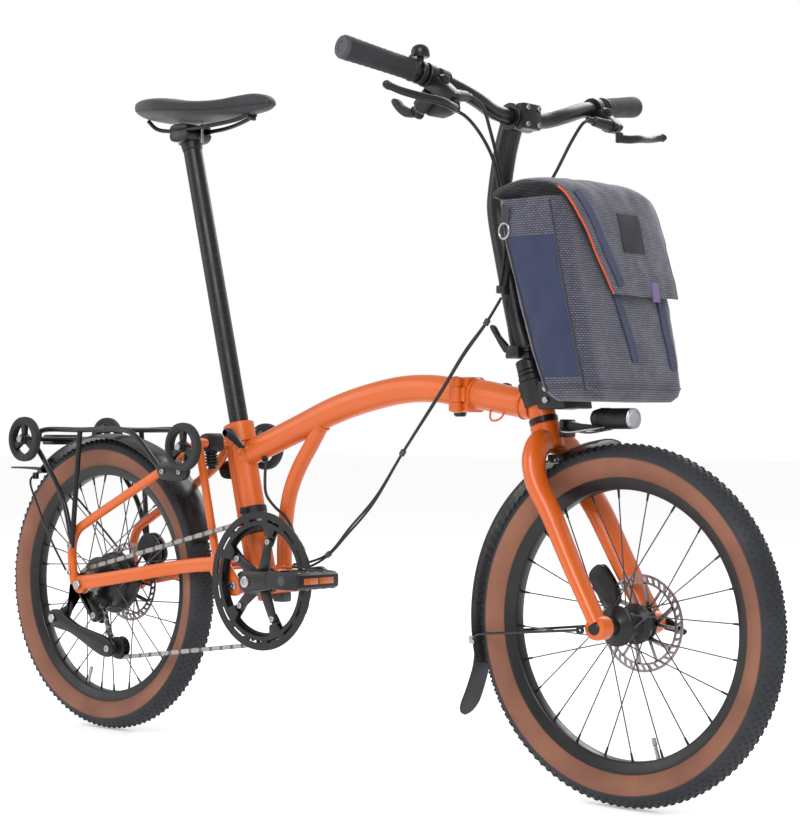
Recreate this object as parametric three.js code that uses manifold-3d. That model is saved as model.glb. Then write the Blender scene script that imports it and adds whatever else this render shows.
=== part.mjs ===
// A folding bicycle with 20-inch wheels, disc brakes, a sprung rear triangle, a rear rack on
// small rollers and a bag on the front carrier. Millimetres, +X forward, +Y left, +Z up.
// Every X below is measured from mid-wheelbase; FRAME_SHIFT moves the finished part so that
// the origin is under the middle of its bounding box.
import * as THREE from "three";
import { mergeVertices } from "three/addons/utils/BufferGeometryUtils.js";
import Module from "manifold-3d";

const wasm = await Module();
wasm.setup();
const { Manifold, Mesh } = wasm;

// ---------------------------------------------------------------- driving dimensions
const FRAME_SHIFT = 11;
const GAP = 0.3;
const SURFACE_TOLERANCE = 0.1;
const WHEELBASE = 1118;
const WHEEL_RADIUS = 257;
const FRONT_AXLE = at(WHEELBASE / 2, 0, WHEEL_RADIUS);
const REAR_AXLE = at(-WHEELBASE / 2, 0, WHEEL_RADIUS);
const BOTTOM_BRACKET = at(-122, 0, 286);
const CRANK_LENGTH = 172.5;
const CRANK_ANGLE = (5 * Math.PI) / 180;
const REAR_PIVOT = at(-200, 0, 273);
const HINGE_PIN = at(266.5, -27, 584);
const SEAT_ANGLE_SLOPE = 0.2556;
const STEER_SLOPE = 0.3153;
const POST_HINGE = at(379, 28, 645.2);
const CHAIN_PLANE = -47;
const GUARD_RADIUS = 112;
const BAR_CENTRE = at(362, 0, 992);

const ORANGE = 0xd4652f;
const BLACK = 0x2c2d30;
const STEEL = 0x9a9a9e;
const RUBBER = 0x2b2e33;
const FABRIC = 0x3f4258;
const GLASS = 0xd8dde2;

// ---------------------------------------------------------------- geometry helpers
function at(x, y, z) {
  return new THREE.Vector3(x, y, z);
}

// X of the seat tube's axis at a height.
function seatX(z) {
  return -223.6 + (511 - z) * SEAT_ANGLE_SLOPE;
}

// X of the steering axis at a height.
function steerX(z) {
  return 413 - (z - 537) * STEER_SLOPE;
}

function seatPoint(z) {
  return at(seatX(z), 0, z);
}

function steerPoint(z) {
  return at(steerX(z), 0, z);
}

// A three.js geometry as a closed manifold solid facing out.
function solid(geometry) {
  const plain = new THREE.BufferGeometry();
  const source = geometry.index ? geometry.toNonIndexed() : geometry;
  plain.setAttribute("position", source.getAttribute("position"));
  const merged = mergeVertices(plain, 1e-4);
  const triangles = new Uint32Array(merged.index.array);
  const build = () =>
    new Manifold(
      new Mesh({
        numProp: 3,
        vertProperties: merged.attributes.position.array,
        triVerts: triangles,
      }),
    );
  const made = build();
  if (made.volume() > 0) return made;
  for (let i = 0; i < triangles.length; i += 3) {
    const kept = triangles[i];
    triangles[i] = triangles[i + 1];
    triangles[i + 1] = kept;
  }
  return build();
}

function join(...solids) {
  return Manifold.union(solids.flat());
}

function cut(body, ...tools) {
  return body.subtract(Manifold.union(tools.flat()));
}

// The same solid on the other side of the bicycle's middle plane.
function mirrored(body) {
  return body.mirror([0, 1, 0]);
}

function bothSides(body) {
  return join(body, mirrored(body));
}

// A straight round bar from a to b, tapering from radius to endRadius.
function rod(a, b, radius, sides = 12, endRadius = radius) {
  const along = b.clone().sub(a);
  const geometry = new THREE.CylinderGeometry(endRadius, radius, along.length(), sides, 1);
  const turn = new THREE.Quaternion().setFromUnitVectors(at(0, 1, 0), along.clone().normalize());
  geometry.applyQuaternion(turn);
  geometry.translate(...a.clone().add(b).multiplyScalar(0.5).toArray());
  return solid(geometry);
}

// A round bar across the bicycle, from yLow to yHigh.
function crossBar(centre, yLow, yHigh, radius, sides = 12) {
  return rod(at(centre.x, yLow, centre.z), at(centre.x, yHigh, centre.z), radius, sides);
}

function block(low, high) {
  const size = at(high[0] - low[0], high[1] - low[1], high[2] - low[2]);
  const geometry = new THREE.BoxGeometry(size.x, size.y, size.z);
  geometry.translate(low[0] + size.x / 2, low[1] + size.y / 2, low[2] + size.z / 2);
  return solid(geometry);
}

// An outline in the X-Z plane made yLow..yHigh thick.
function plate(outline, yLow, yHigh) {
  const shape = new THREE.Shape(outline.map(([x, z]) => new THREE.Vector2(x, z)));
  const geometry = new THREE.ExtrudeGeometry(shape, { depth: yHigh - yLow, bevelEnabled: false });
  geometry.rotateX(Math.PI / 2);
  geometry.translate(0, yHigh, 0);
  return solid(geometry);
}

// An outline in the Y-Z plane made xLow..xHigh thick.
function crossPlate(outline, xLow, xHigh) {
  const shape = new THREE.Shape(outline.map(([y, z]) => new THREE.Vector2(y, z)));
  const geometry = new THREE.ExtrudeGeometry(shape, { depth: xHigh - xLow, bevelEnabled: false });
  geometry.rotateX(Math.PI / 2);
  geometry.rotateZ(Math.PI / 2);
  geometry.translate(xLow, 0, 0);
  return solid(geometry);
}

// A profile of [radius, y] pairs turned about the Y axis through a centre. A profile that
// ends where it starts makes a ring.
function turned(profile, centre, segments) {
  const points = profile.map(([r, y]) => new THREE.Vector2(r, y));
  const geometry = new THREE.LatheGeometry(points, segments);
  geometry.translate(centre.x, centre.y, centre.z);
  return solid(geometry);
}

// The triangles that fill a flat ring of points, turning the same way as the ring.
function flatFaces(ring) {
  const normal = at(0, 0, 0);
  ring.forEach((p, i) => normal.add(p.clone().cross(ring[(i + 1) % ring.length])));
  normal.normalize();
  const across = ring[1].clone().sub(ring[0]);
  across.addScaledVector(normal, -across.dot(normal)).normalize();
  const up = normal.clone().cross(across);
  const contour = ring.map((p) => new THREE.Vector2(p.dot(across), p.dot(up)));
  return THREE.ShapeUtils.triangulateShape(contour, []);
}

// Rings of points joined into one closed skin; the first and last rings are capped unless
// the loft closes on itself.
function loft(rings, closed = false) {
  const count = rings[0].length;
  const spots = rings.flat();
  const faces = [];
  const steps = closed ? rings.length : rings.length - 1;
  for (let i = 0; i < steps; i++) {
    const here = i * count;
    const next = ((i + 1) % rings.length) * count;
    for (let k = 0; k < count; k++) {
      const k2 = (k + 1) % count;
      faces.push(here + k, here + k2, next + k2);
      faces.push(here + k, next + k2, next + k);
    }
  }
  if (!closed) {
    const last = (rings.length - 1) * count;
    for (const [a, b, c] of flatFaces(rings[0])) faces.push(a, c, b);
    for (const [a, b, c] of flatFaces(rings[rings.length - 1])) faces.push(last + a, last + b,
      last + c);
  }
  const geometry = new THREE.BufferGeometry();
  const flat = faces.flatMap((n) => spots[n].toArray());
  geometry.setAttribute("position", new THREE.Float32BufferAttribute(flat, 3));
  return solid(geometry);
}

// A tube through points. size gives [half width, half height] at each share of the length;
// the width lies along the bicycle's Y direction for a path in the X-Z plane.
function tube(points, size, sides = 12, steps = 16, closed = false) {
  const sizeAt = typeof size === "number" ? () => [size, size] : size;
  const curve = new THREE.CatmullRomCurve3(points, closed, "centripetal");
  const count = closed ? steps : steps + 1;
  const rings = [];
  let side = at(0, 1, 0);
  for (let i = 0; i < count; i++) {
    const share = i / steps;
    const centre = curve.getPointAt(share);
    const along = curve.getTangentAt(share);
    side = side.clone().addScaledVector(along, -side.dot(along)).normalize();
    const up = along.clone().cross(side).normalize();
    const [wide, high] = sizeAt(share);
    const ring = [];
    for (let k = 0; k < sides; k++) {
      const angle = ((k + 0.5) / sides) * 2 * Math.PI;
      ring.push(
        centre
          .clone()
          .addScaledVector(side, wide * Math.cos(angle))
          .addScaledVector(up, high * Math.sin(angle)),
      );
    }
    rings.push(ring);
  }
  return loft(rings, closed);
}

// A flexible cable as a round section extruded along a curve.
function cable(points, radius, steps) {
  const curve = new THREE.CatmullRomCurve3(points, false, "centripetal");
  const section = new THREE.Shape();
  for (let k = 0; k < 8; k++) {
    const angle = (k / 8) * 2 * Math.PI;
    const spot = [radius * Math.cos(angle), radius * Math.sin(angle)];
    if (k === 0) section.moveTo(...spot);
    else section.lineTo(...spot);
  }
  section.closePath();
  return solid(
    new THREE.ExtrudeGeometry(section, { steps, bevelEnabled: false, extrudePath: curve }),
  );
}

function onCircle(centre, radius, degrees, y = centre.y) {
  const angle = (degrees * Math.PI) / 180;
  return at(centre.x + radius * Math.cos(angle), y, centre.z + radius * Math.sin(angle));
}

const group = new THREE.Group();

function part(name, body, colour) {
  const mesh = body.asOriginal().simplify(SURFACE_TOLERANCE).getMesh();
  const positions = new Float32Array(mesh.vertProperties);
  const geometry = new THREE.BufferGeometry();
  geometry.setAttribute("position", new THREE.BufferAttribute(positions, 3));
  geometry.setIndex(new THREE.BufferAttribute(new Uint32Array(mesh.triVerts), 1));
  geometry.translate(FRAME_SHIFT, 0, 0);
  geometry.computeVertexNormals();
  const made = new THREE.Mesh(geometry, new THREE.MeshStandardMaterial({ color: colour }));
  made.name = name;
  group.add(made);
}

// ---------------------------------------------------------------- wheels
const BEAD_RADIUS = 208;
const RIM_INNER_RADIUS = 191;
const RIM_SIDES = 32;
const SPOKE_RADIUS = 1.2;
const SPOKE_STAGGER = 1.8;

function tyre(axle) {
  const outside = [[BEAD_RADIUS, 15.6], [220, 23.4], [233, 25.8], [249, 18]];
  const crown = [[WHEEL_RADIUS, 0]];
  const far = outside.map(([r, y]) => [r, -y]).reverse();
  const inside = [[BEAD_RADIUS, -10], [240, -14], [240, 14], [BEAD_RADIUS, 10]];
  const profile = [...outside, ...crown, ...far, ...inside, outside[0]];
  return turned(profile, axle, RIM_SIDES);
}

function rim(axle) {
  const flange = BEAD_RADIUS - GAP;
  const half = [[flange, 15.3], [flange, 12.6], [203, 11]];
  const far = half.map(([r, y]) => [r, -y]).reverse();
  const inner = [[RIM_INNER_RADIUS, -9.8], [RIM_INNER_RADIUS, 9.8]];
  return turned([...half, ...far, ...inner, half[0]], axle, RIM_SIDES);
}

// Spokes run from the two hub flanges to the nipples, which sit in a narrow band under the rim.
function spokes(axle, count, flangeRadius, flangeY, hubClear) {
  const bandOuter = RIM_INNER_RADIUS * Math.cos(Math.PI / RIM_SIDES) - GAP;
  const bandInner = bandOuter - 2.2;
  const band = turned(
    [[bandInner, -2], [bandOuter, -2], [bandOuter, 2], [bandInner, 2], [bandInner, -2]],
    axle,
    24,
  );
  const rods = [];
  for (let i = 0; i < count; i++) {
    const degrees = (i / count) * 360 + 4;
    const side = i % 2 ? 1 : -1;
    const trailing = i % 4 < 2 ? 1 : -1;
    const lean = trailing * 38;
    const flangeSpot = side * (flangeY + trailing * SPOKE_STAGGER);
    const start = onCircle(axle, flangeRadius + hubClear, degrees + lean, flangeSpot);
    const end = onCircle(axle, bandInner + 0.5, degrees, 0);
    rods.push(rod(start, end, SPOKE_RADIUS, 3));
  }
  return join(band, rods);
}

// A brake rotor: a ring on six arms around a centre that fits the hub.
function rotor(axle, y, outerRadius, boreRadius) {
  const ring = turned(
    [[outerRadius - 13, y], [outerRadius, y], [outerRadius, y + 1.8], [outerRadius - 13, y + 1.8],
      [outerRadius - 13, y]],
    axle,
    30,
  );
  const centre = turned(
    [[boreRadius, y - 1], [boreRadius + 8, y - 1], [boreRadius + 8, y + 2.8], [boreRadius, y + 2.8],
      [boreRadius, y - 1]],
    axle,
    16,
  );
  const arms = [];
  for (let i = 0; i < 6; i++) {
    const inner = onCircle(axle, boreRadius + 5, i * 60, y + 0.9);
    const outer = onCircle(axle, outerRadius - 10, i * 60 + 28, y + 0.9);
    const along = outer.clone().sub(inner).normalize();
    const across = at(-along.z, 0, along.x).multiplyScalar(3.5);
    const corners = [
      inner.clone().add(across),
      outer.clone().add(across),
      outer.clone().sub(across),
      inner.clone().sub(across),
    ];
    arms.push(plate(corners.map((p) => [p.x, p.z]), y, y + 1.8));
  }
  return join(ring, centre, arms);
}

const AXLE_RADIUS = 7.5;
const FRONT_FLANGE = { radius: 29, y: 22 };
const REAR_FLANGE = { radius: 47, y: 24 };

part("front_tyre", tyre(FRONT_AXLE), RUBBER);
part("front_rim", rim(FRONT_AXLE), BLACK);
part("front_spokes", spokes(FRONT_AXLE, 24, FRONT_FLANGE.radius, FRONT_FLANGE.y, 1.8), STEEL);
part(
  "front_hub",
  turned(
    [
      [8, -50], [13, -50], [14, -32], [24, -29], [FRONT_FLANGE.radius, -24], [FRONT_FLANGE.radius, -20],
      [26, -18], [26, 18], [FRONT_FLANGE.radius, 20], [FRONT_FLANGE.radius, 24], [22, 27], [17, 34],
      [17, 45], [12, 50], [8, 50], [8, -50],
    ],
    FRONT_AXLE,
    20,
  ),
  BLACK,
);
part("front_rotor", rotor(FRONT_AXLE, 38, 70, 17.6), STEEL);

part("rear_tyre", tyre(REAR_AXLE), RUBBER);
part("rear_rim", rim(REAR_AXLE), BLACK);
part("rear_spokes", spokes(REAR_AXLE, 32, REAR_FLANGE.radius, REAR_FLANGE.y, 1.8), STEEL);
part(
  "rear_hub",
  join(
    turned(
      [
        [8, -38], [16, -38], [18, -30], [30, -28], [REAR_FLANGE.radius, -26], [REAR_FLANGE.radius, -22],
        [42, -18], [44, 2], [REAR_FLANGE.radius + 7, 6], [REAR_FLANGE.radius + 7, 17],
        [REAR_FLANGE.radius, 22], [REAR_FLANGE.radius, 26], [30, 30], [20, 36], [20, 52], [12, 62],
          [8, 62], [8, -38],
      ],
      REAR_AXLE,
      18,
    ),
    rotor(REAR_AXLE, 44, 70, 19),
  ),
  BLACK,
);
const SPROCKET_RADIUS = 22.5;
part(
  "sprocket",
  turned(
    [[8, -62], [16, -62], [16, -49], [SPROCKET_RADIUS, -49], [SPROCKET_RADIUS, -45], [16, -45],
      [16, -38.4], [8, -38.4], [8, -62]],
    REAR_AXLE,
    20,
  ),
  STEEL,
);

// ---------------------------------------------------------------- main frame
const TUBE_RADIUS = 20;
const SEAT_TUBE_RADIUS = 19;
const SEAT_BORE_RADIUS = 17;
const HINGE_HEIGHTS = [557.5, 572.2, 595.8, 610.5];

function hingePlate(xLow, xHigh) {
  const outline = [[-22, 566], [-14, 558], [14, 558], [22, 566], [22, 602], [14, 610], [-14, 610],
    [-22, 602]];
  return crossPlate(outline, xLow, xHigh);
}

function hingeColumn(low, high, radius, sides = 16) {
  return rod(at(HINGE_PIN.x, HINGE_PIN.y, low), at(HINGE_PIN.x, HINGE_PIN.y, high), radius, sides);
}

const [pinLow, jointLow, jointHigh, pinHigh] = HINGE_HEIGHTS;
const mainTube = tube(
  [at(-214, 0, 488), at(-179, 0, 500), at(-91, 0, 532), at(-2, 0, 564), at(85, 0, 585),
    at(147, 0, 593.5), at(209, 0, 593), at(254, 0, 586)],
  TUBE_RADIUS,
  12,
  13,
);
const seatTube = rod(seatPoint(524), seatPoint(252), SEAT_TUBE_RADIUS, 14);
const seatCollar = rod(seatPoint(540), seatPoint(508), 24, 14);
const seatLug = plate(
  [[-236, 541], [-262, 538], [-279, 528], [-284, 517], [-278, 508], [-262, 504], [-236, 506]],
  -9,
  9,
);
const brace = tube(
  [at(-30, 0, 552), at(-62, 0, 507), at(-92, 0, 465), at(-111, 0, 425), at(-120, 0, 381),
    at(-123, 0, 335), at(-122, 0, 290)],
  12.5,
  10,
  9,
);
const bracketShell = crossBar(BOTTOM_BRACKET, -34, 34, 22, 20);
const lowerGusset = plate([[-186, 296], [-122, 306], [-122, 266], [-176, 256]], -15, 15);
const pivotTube = crossBar(REAR_PIVOT, -32.5, 32.5, 14, 16);
const pivotWeb = plate([[-206, 285], [-170, 300], [-160, 262], [-196, 260]], -15, 15);
const rearKnuckles = join(
  hingeColumn(pinLow, jointLow, 8.5),
  hingeColumn(jointHigh, pinHigh, 8.5),
  block([250, -30, pinLow + 1], [266.2, -14, jointLow]),
  block([250, -30, jointHigh], [266.2, -14, pinHigh - 1]),
);
const mainFrame = join(
  cut(
    join(mainTube, seatTube, seatCollar, seatLug, brace, bracketShell, lowerGusset, pivotTube,
      pivotWeb),
    rod(seatPoint(560), seatPoint(240), SEAT_BORE_RADIUS, 14),
    crossBar(BOTTOM_BRACKET, -40, 40, 13, 16),
    crossBar(REAR_PIVOT, -40, 40, 6.4, 12),
  ),
  cut(join(hingePlate(244, 266.2), rearKnuckles), hingeColumn(jointLow, jointHigh, 9.2)),
  hingeColumn(pinLow, pinHigh, 4, 12),
);
part("main_frame", mainFrame, ORANGE);

part(
  "seat_lever",
  join(
    rod(at(-226, -33, 524), at(-226, -24.4, 524), 6, 10),
    plate([[-232, 530], [-220, 532], [-204, 522], [-186, 508], [-184, 500], [-192, 500], [-214, 512],
      [-232, 517]], -38, -31),
  ),
  BLACK,
);

part(
  "bottom_bracket",
  join(
    cut(
      join(crossBar(BOTTOM_BRACKET, -39, -34.3, 20, 14), crossBar(BOTTOM_BRACKET, 34.3, 39, 20, 14),
        crossBar(BOTTOM_BRACKET, -39, 39, 12.7, 16)),
      crossBar(BOTTOM_BRACKET, -45, 45, 9.6, 14),
    ),
  ),
  BLACK,
);

part(
  "frame_cable",
  cable(
    [at(-161, -4, 474), at(-157, -12, 450), at(-148, -18, 425), at(-124, -21, 404), at(-98, -21, 388),
      at(-74, -25, 358), at(-58, -31, 325)],
    2.6,
    12,
  ),
  BLACK,
);

part(
  "long_cables",
  cable(
    [
      at(349, -25, 724), at(330, -34, 690), at(296, -44, 645), at(255, -49, 588), at(184, -55, 496),
      at(125, -54, 422), at(66, -48, 373), at(14, -39, 334), at(-32, -35, 316), at(-70, -33, 312),
    ],
    3.4,
    18,
  ),
  BLACK,
);

// ---------------------------------------------------------------- front frame
const HEAD_RADIUS = 20;
const HEAD_LOW = 541;
const HEAD_HIGH = 611;
const frontKnuckle = join(
  hingeColumn(jointLow + GAP, jointHigh - GAP, 8.5),
  block([266.8, -30, jointLow + GAP], [283, -14, jointHigh - GAP]),
);
const frontFrame = cut(
  join(
    cut(
      join(hingePlate(266.8, 286), frontKnuckle),
      hingeColumn(550, jointLow, 9.2),
      hingeColumn(jointHigh, 620, 9.2),
    ),
    tube([at(282, 0, 584), at(330, 0, 578), at(396, 0, 567)], () => [22, 23], 14, 4),
    rod(steerPoint(HEAD_LOW), steerPoint(HEAD_HIGH), HEAD_RADIUS, 14),
  ),
  hingeColumn(550, 620, 4.4, 12),
  rod(steerPoint(530), steerPoint(625), 15.4, 14),
);
part("front_frame", frontFrame, ORANGE);

part(
  "hinge_clamp",
  join(
    block([254, 22.8, 571], [279, 31, 598]),
    rod(at(266.5, 28, 584), at(266.5, 40, 584), 9, 14),
    plate([[259, 590], [272, 592], [290, 598], [314, 602], [318, 597], [296, 588], [274, 577],
      [259, 578]], 36, 44),
  ),
  BLACK,
);

const carrierBlock = cut(
  join(
    plate([[396, 606], [424, 606], [458, 598], [468, 590], [468, 562], [404, 562]], -21, 21),
    plate([[456, 600], [468.5, 596], [476, 562], [464, 562]], -34, 34),
  ),
  rod(steerPoint(500), steerPoint(640), HEAD_RADIUS + 0.8, 14),
);
part("carrier_block", carrierBlock, BLACK);

// ---------------------------------------------------------------- bag on the front carrier
const BAG_HALF_WIDTH = 117;
const BAG_WALL = 7;
const BAG_LOW = { z: 572, back: 488, front: 592 };
const BAG_HIGH = { z: 858, back: 399, front: 524 };

function bagRing(z, inset) {
  const share = (z - BAG_LOW.z) / (BAG_HIGH.z - BAG_LOW.z);
  const back = BAG_LOW.back + (BAG_HIGH.back - BAG_LOW.back) * share + inset;
  const front = BAG_LOW.front + (BAG_HIGH.front - BAG_LOW.front) * share - inset;
  const half = BAG_HALF_WIDTH - inset;
  const round = 22;
  const corners = [
    [back + round, half], [back, half - round], [back, -half + round], [back + round, -half],
    [front - round, -half], [front, -half + round], [front, half - round], [front - round, half],
  ];
  return corners.map(([x, y]) => at(x, y, z));
}

part(
  "bag_body",
  cut(
    loft([bagRing(BAG_LOW.z, 10), bagRing(BAG_LOW.z + 14, 0), bagRing(BAG_HIGH.z - 10, 0),
      bagRing(BAG_HIGH.z, 3)]),
    loft([bagRing(BAG_LOW.z + 12, 12), bagRing(BAG_HIGH.z + 20, BAG_WALL)]),
  ),
  FABRIC,
);

const flapTop = plate(
  [[398, 858.6], [401, 876], [425, 889], [462, 893], [500, 888], [530, 868], [543, 826], [569, 717],
    [561, 716], [534.5, 826], [527, 858.6]],
  -BAG_HALF_WIDTH,
  BAG_HALF_WIDTH,
);
part("bag_flap", flapTop, FABRIC);

// ---------------------------------------------------------------- fork and front guards
const BLADE_HALF_SPACING = 64;
const FORK_END = { inner: 51.5, outer: 76.5 };
const crown = rod(steerPoint(506), steerPoint(HEAD_LOW - 0.6), 22.5, 14);
const blade = tube(
  [
    at(421, 8, 516), at(425, 32, 508), at(430, 48, 487), at(441, 54, 455), at(469, 57.5, 413),
    at(513, 61, 335), at(557, BLADE_HALF_SPACING, 262),
  ],
  (share) => [17 - 4.6 * share, share < 0.2 ? 19 + 20 * share : 23.9 - 4.5 * share],
  10,
  12,
);
const forkEnd = crossBar(FRONT_AXLE, FORK_END.inner, FORK_END.outer, 17, 16);
const steerer = rod(steerPoint(510), steerPoint(HEAD_HIGH), 14.7, 14);
const axleRod = crossBar(FRONT_AXLE, -66, 66, AXLE_RADIUS, 14);
part("fork", join(crown, bothSides(join(blade, forkEnd)), steerer, axleRod), ORANGE);

part(
  "axle_lever",
  join(
    crossBar(FRONT_AXLE, FORK_END.outer + GAP, 86, 9, 12),
    plate([[552, 264], [566, 264], [601, 250], [606, 243], [598, 240], [560, 248]], 80, 86),
  ),
  BLACK,
);

// A mudguard: an arched strip around a wheel between two angles.
function guard(axle, fromDegrees, toDegrees, steps) {
  const section = [
    [257, -30], [261, -20], [262.4, 0], [261, 20], [257, 30], [259.5, 30.7], [263.7, 20.5], [265, 0],
    [263.7, -20.5], [259.5, -30.7],
  ];
  const rings = [];
  for (let i = 0; i <= steps; i++) {
    const degrees = fromDegrees + ((toDegrees - fromDegrees) * i) / steps;
    rings.push(section.map(([r, y]) => onCircle(axle, r, degrees, y)));
  }
  return loft(rings);
}

// The wire stay runs from a clip on the guard's edge to an eyelet outside the fork end.
const frontStay = join(
  rod(at(303, -29, 222), at(314, -34, 229), 3, 8),
  rod(at(310, -33, 227), at(538, -82, 254), 2, 8),
  crossBar(at(540, 0, 254), -84, -FORK_END.outer - GAP, 4, 10),
);
const flapOutline = [[301, 205], [298, 178], [289, 150], [278, 124], [266, 104], [262, 107],
  [272, 128], [282, 152], [291, 180], [294, 206]];
part(
  "front_mudguard",
  join(
    guard(FRONT_AXLE, 97, 196, 14),
    plate(flapOutline, -17, 17),
    bothSides(frontStay),
    block([424, -9, 486], [436, 9, 497]),
  ),
  BLACK,
);

const LAMP = at(545, 0, 548);
part(
  "front_lamp",
  join(
    rod(at(500, 0, LAMP.z), at(568, 0, LAMP.z), 15, 16),
    plate([[452, 532], [470, 530], [520, 530], [520, 538], [474, 541], [452, 546]], -9, 9),
    plate([[450, 521], [458, 521], [458, 547], [450, 547]], -15, 15),
  ),
  BLACK,
);
part("front_lens", rod(at(568.3, 0, LAMP.z), at(575, 0, LAMP.z), 15, 16, 13.5), GLASS);

const ROTOR_RADIUS = 70;
part(
  "front_caliper",
  cut(
    plate([[470, 322], [488, 338], [506, 322], [520, 296], [516, 280], [500, 274],
      [486, 292]], 30, 46.5),
    crossBar(FRONT_AXLE, 36.4, 41.6, ROTOR_RADIUS + 3, 24),
  ),
  BLACK,
);

// ---------------------------------------------------------------- folding handlepost and bar
const POST_RADIUS = 17.5;
function postKnuckle(xLow, xHigh) {
  return rod(at(xLow, POST_HINGE.y, POST_HINGE.z), at(xHigh, POST_HINGE.y, POST_HINGE.z), 7, 12);
}
const POST_PLATE = [[-24, -9.2], [-24, -GAP / 2], [21, -GAP / 2], [21, -9.2]];
const lowerPlate = join(
  crossPlate(POST_PLATE.map(([y, z]) => [y, POST_HINGE.z + z]), 356, 402),
  cut(
    join(postKnuckle(357, 369.7), postKnuckle(388.3, 401), block([357, 14, 636.2], [369.7, 28, 644.9]),
      block([388.3, 14, 636.2], [401, 28, 644.9])),
    block([369.7, 0, 620], [388.3, 60, 670]),
  ),
  rod(at(357, POST_HINGE.y, POST_HINGE.z), at(401, POST_HINGE.y, POST_HINGE.z), 3, 10),
);
part(
  "stem_base",
  join(
    rod(steerPoint(HEAD_HIGH + 1.2), steerPoint(632), 21, 14),
    rod(at(381, 0, 630), at(381, 0, 638), 20, 16),
    cut(lowerPlate, rod(at(370, 28, 645.2),
      at(388, 28, 645.2), 7.6, 12).subtract(rod(at(360, 28, 645.2), at(400, 28, 645.2), 3, 10))),
  ),
  BLACK,
);
const upperPlate = cut(
  join(
    block([357, -24, POST_HINGE.z + GAP / 2 + 0.1], [401, 17, 656]),
    postKnuckle(370, 388),
    block([370, 14, 645.6], [388, 28, 652.2]),
    tube([at(375, 0, 648), at(366, 0, 677), at(358, 0, 707), at(340, 0, 782), at(327, 0, 838),
      at(323.5, 0, 864), at(326, 0, 890), at(336, 0, 944),
      at(349, 0, 986)], POST_RADIUS, 12, 13).subtract(
      block([300, -40, 600], [420, 40, POST_HINGE.z + 0.3]),
    ),
    crossBar(BAR_CENTRE, -24, 24, 20, 16),
  ),
  rod(at(350, 28, 645.2), at(410, 28, 645.2), 3.3, 10),
  crossBar(BAR_CENTRE, -40, 40, 13.2, 16),
);
part("handlepost", upperPlate, BLACK);

part(
  "post_lever",
  join(
    block([366, -34, 637], [390, -24.4, 655]),
    plate([[366, 640], [348, 648], [340, 668], [334, 684], [340, 686], [352, 668],
      [366, 654]], -34, -25),
  ),
  BLACK,
);

const BAR_RADIUS = 11.9;
const GRIP_START = 219;
const halfBar = [[362, 30, 992], [363, 62, 995], [366, 105, 1007], [359, 160, 1023],
  [350, GRIP_START, 1034]];
const barPath = [
  ...halfBar.map(([x, y, z]) => at(x, -y, z)).reverse(),
  at(362, 0, 992),
  ...halfBar.map(([x, y, z]) => at(x, y, z)),
];

part("handlebar", cable(barPath, BAR_RADIUS, 20), BLACK);
const grip = join(
  rod(at(349.6, GRIP_START + 1.6, 1034.3), at(326, 338, 1053), 15.2, 14, 16.8),
  rod(at(326, 338, 1053), at(324.8, 344, 1054), 16.8, 14, 14.5),
);
part("grip_left", grip, RUBBER);
part("grip_right", mirrored(grip), RUBBER);

// Brake clamp and master cylinder beside each grip.
const barSleeve = rod(at(363.5, 130.5, 1017.5), at(346, 245, 1038.8), BAR_RADIUS + 1.6, 10);
const barBand = (x, y, z, half, radius) =>
  rod(at(x + 0.15 * half, y - half, z - 0.19 * half),
    at(x - 0.15 * half, y + half, z + 0.19 * half), radius, 12);
const brakeBody = cut(
  join(
    barBand(353.6, 195.5, 1029.6, 7, 14),
    plate([[352, 1014], [372, 1026], [394, 1011], [405, 998], [397, 989], [384, 990],
      [356, 1006]], 178, 206),
  ),
  barSleeve,
);
part("brake_body_left", brakeBody, BLACK);
part(
  "brake_body_right",
  join(
    mirrored(brakeBody),
    cut(rod(at(354, -186, 1008), at(330, -186, 986), 15, 12), mirrored(barSleeve)),
    block([338, -180, 980], [374, -150, 1002]),
  ),
  BLACK,
);
const brakeLever = join(
  rod(at(404, 194, 973), at(404, 194, 988.6), 6, 10),
  tube([at(404, 194, 979), at(412, 214, 980), at(413, 236, 982), at(404, 268, 986), at(396, 300, 991),
    at(393, 326, 996)], () => [4, 6.5], 6, 7),
);
part("brake_lever_left", brakeLever, STEEL);
part("brake_lever_right", mirrored(brakeLever), STEEL);
part(
  "shift_lever",
  join(
    rod(at(328, -186, 984.2), at(322, -186, 978.7), 11, 12),
    plate([[330, 977], [324, 983], [300, 996], [292, 1004], [288, 1000], [296, 988],
      [316, 974]], -200, -188),
  ),
  BLACK,
);
part(
  "bell",
  join(
    mirrored(barBand(351.2, 210.5, 1032.4, 4, 17)),
    rod(at(351, -209, 1046), at(351, -209, 1055), 5, 10),
    rod(at(351, -209, 1054), at(351, -209, 1064), 13.4, 14, 13.4),
    rod(at(351, -209, 1064), at(351, -209, 1072), 13.4, 14, 6),
  ).subtract(mirrored(barSleeve)),
  BLACK,
);
part(
  "bell_striker",
  join(rod(at(337, -209, 1052), at(333, -209, 1056), 2, 6), block([330, -213, 1054],
    [336.5, -205, 1060])),
  BLACK,
);
part(
  "bar_cables",
  join(
    cable([at(390, -176, 989), at(398, -140, 982), at(386, -96, 956), at(375, -60, 905),
      at(367, -34, 850), at(364, -25, 800), at(355, -23.5, 736)], 2.6, 11),
    cable([at(392, 176, 996), at(400, 140, 990), at(388, 96, 968), at(380, 56, 905), at(372, 10, 850),
      at(366, -14, 800), at(350, -23.5, 736)], 2.6, 11),
    cable([at(352, -148, 990), at(372, -116, 975), at(377, -84, 930), at(368, -50, 868),
      at(362, -32, 800), at(346, -23.5, 736)], 2.6, 10),
    block([342, -29.5, 732], [360, -18.4, 744]),
  ),
  BLACK,
);

// ---------------------------------------------------------------- seat
const SEATPOST_BOTTOM = 395;
const SEATPOST_TOP = 1006;
part("seatpost", rod(seatPoint(SEATPOST_BOTTOM), seatPoint(SEATPOST_TOP), 16, 14), BLACK);

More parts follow.
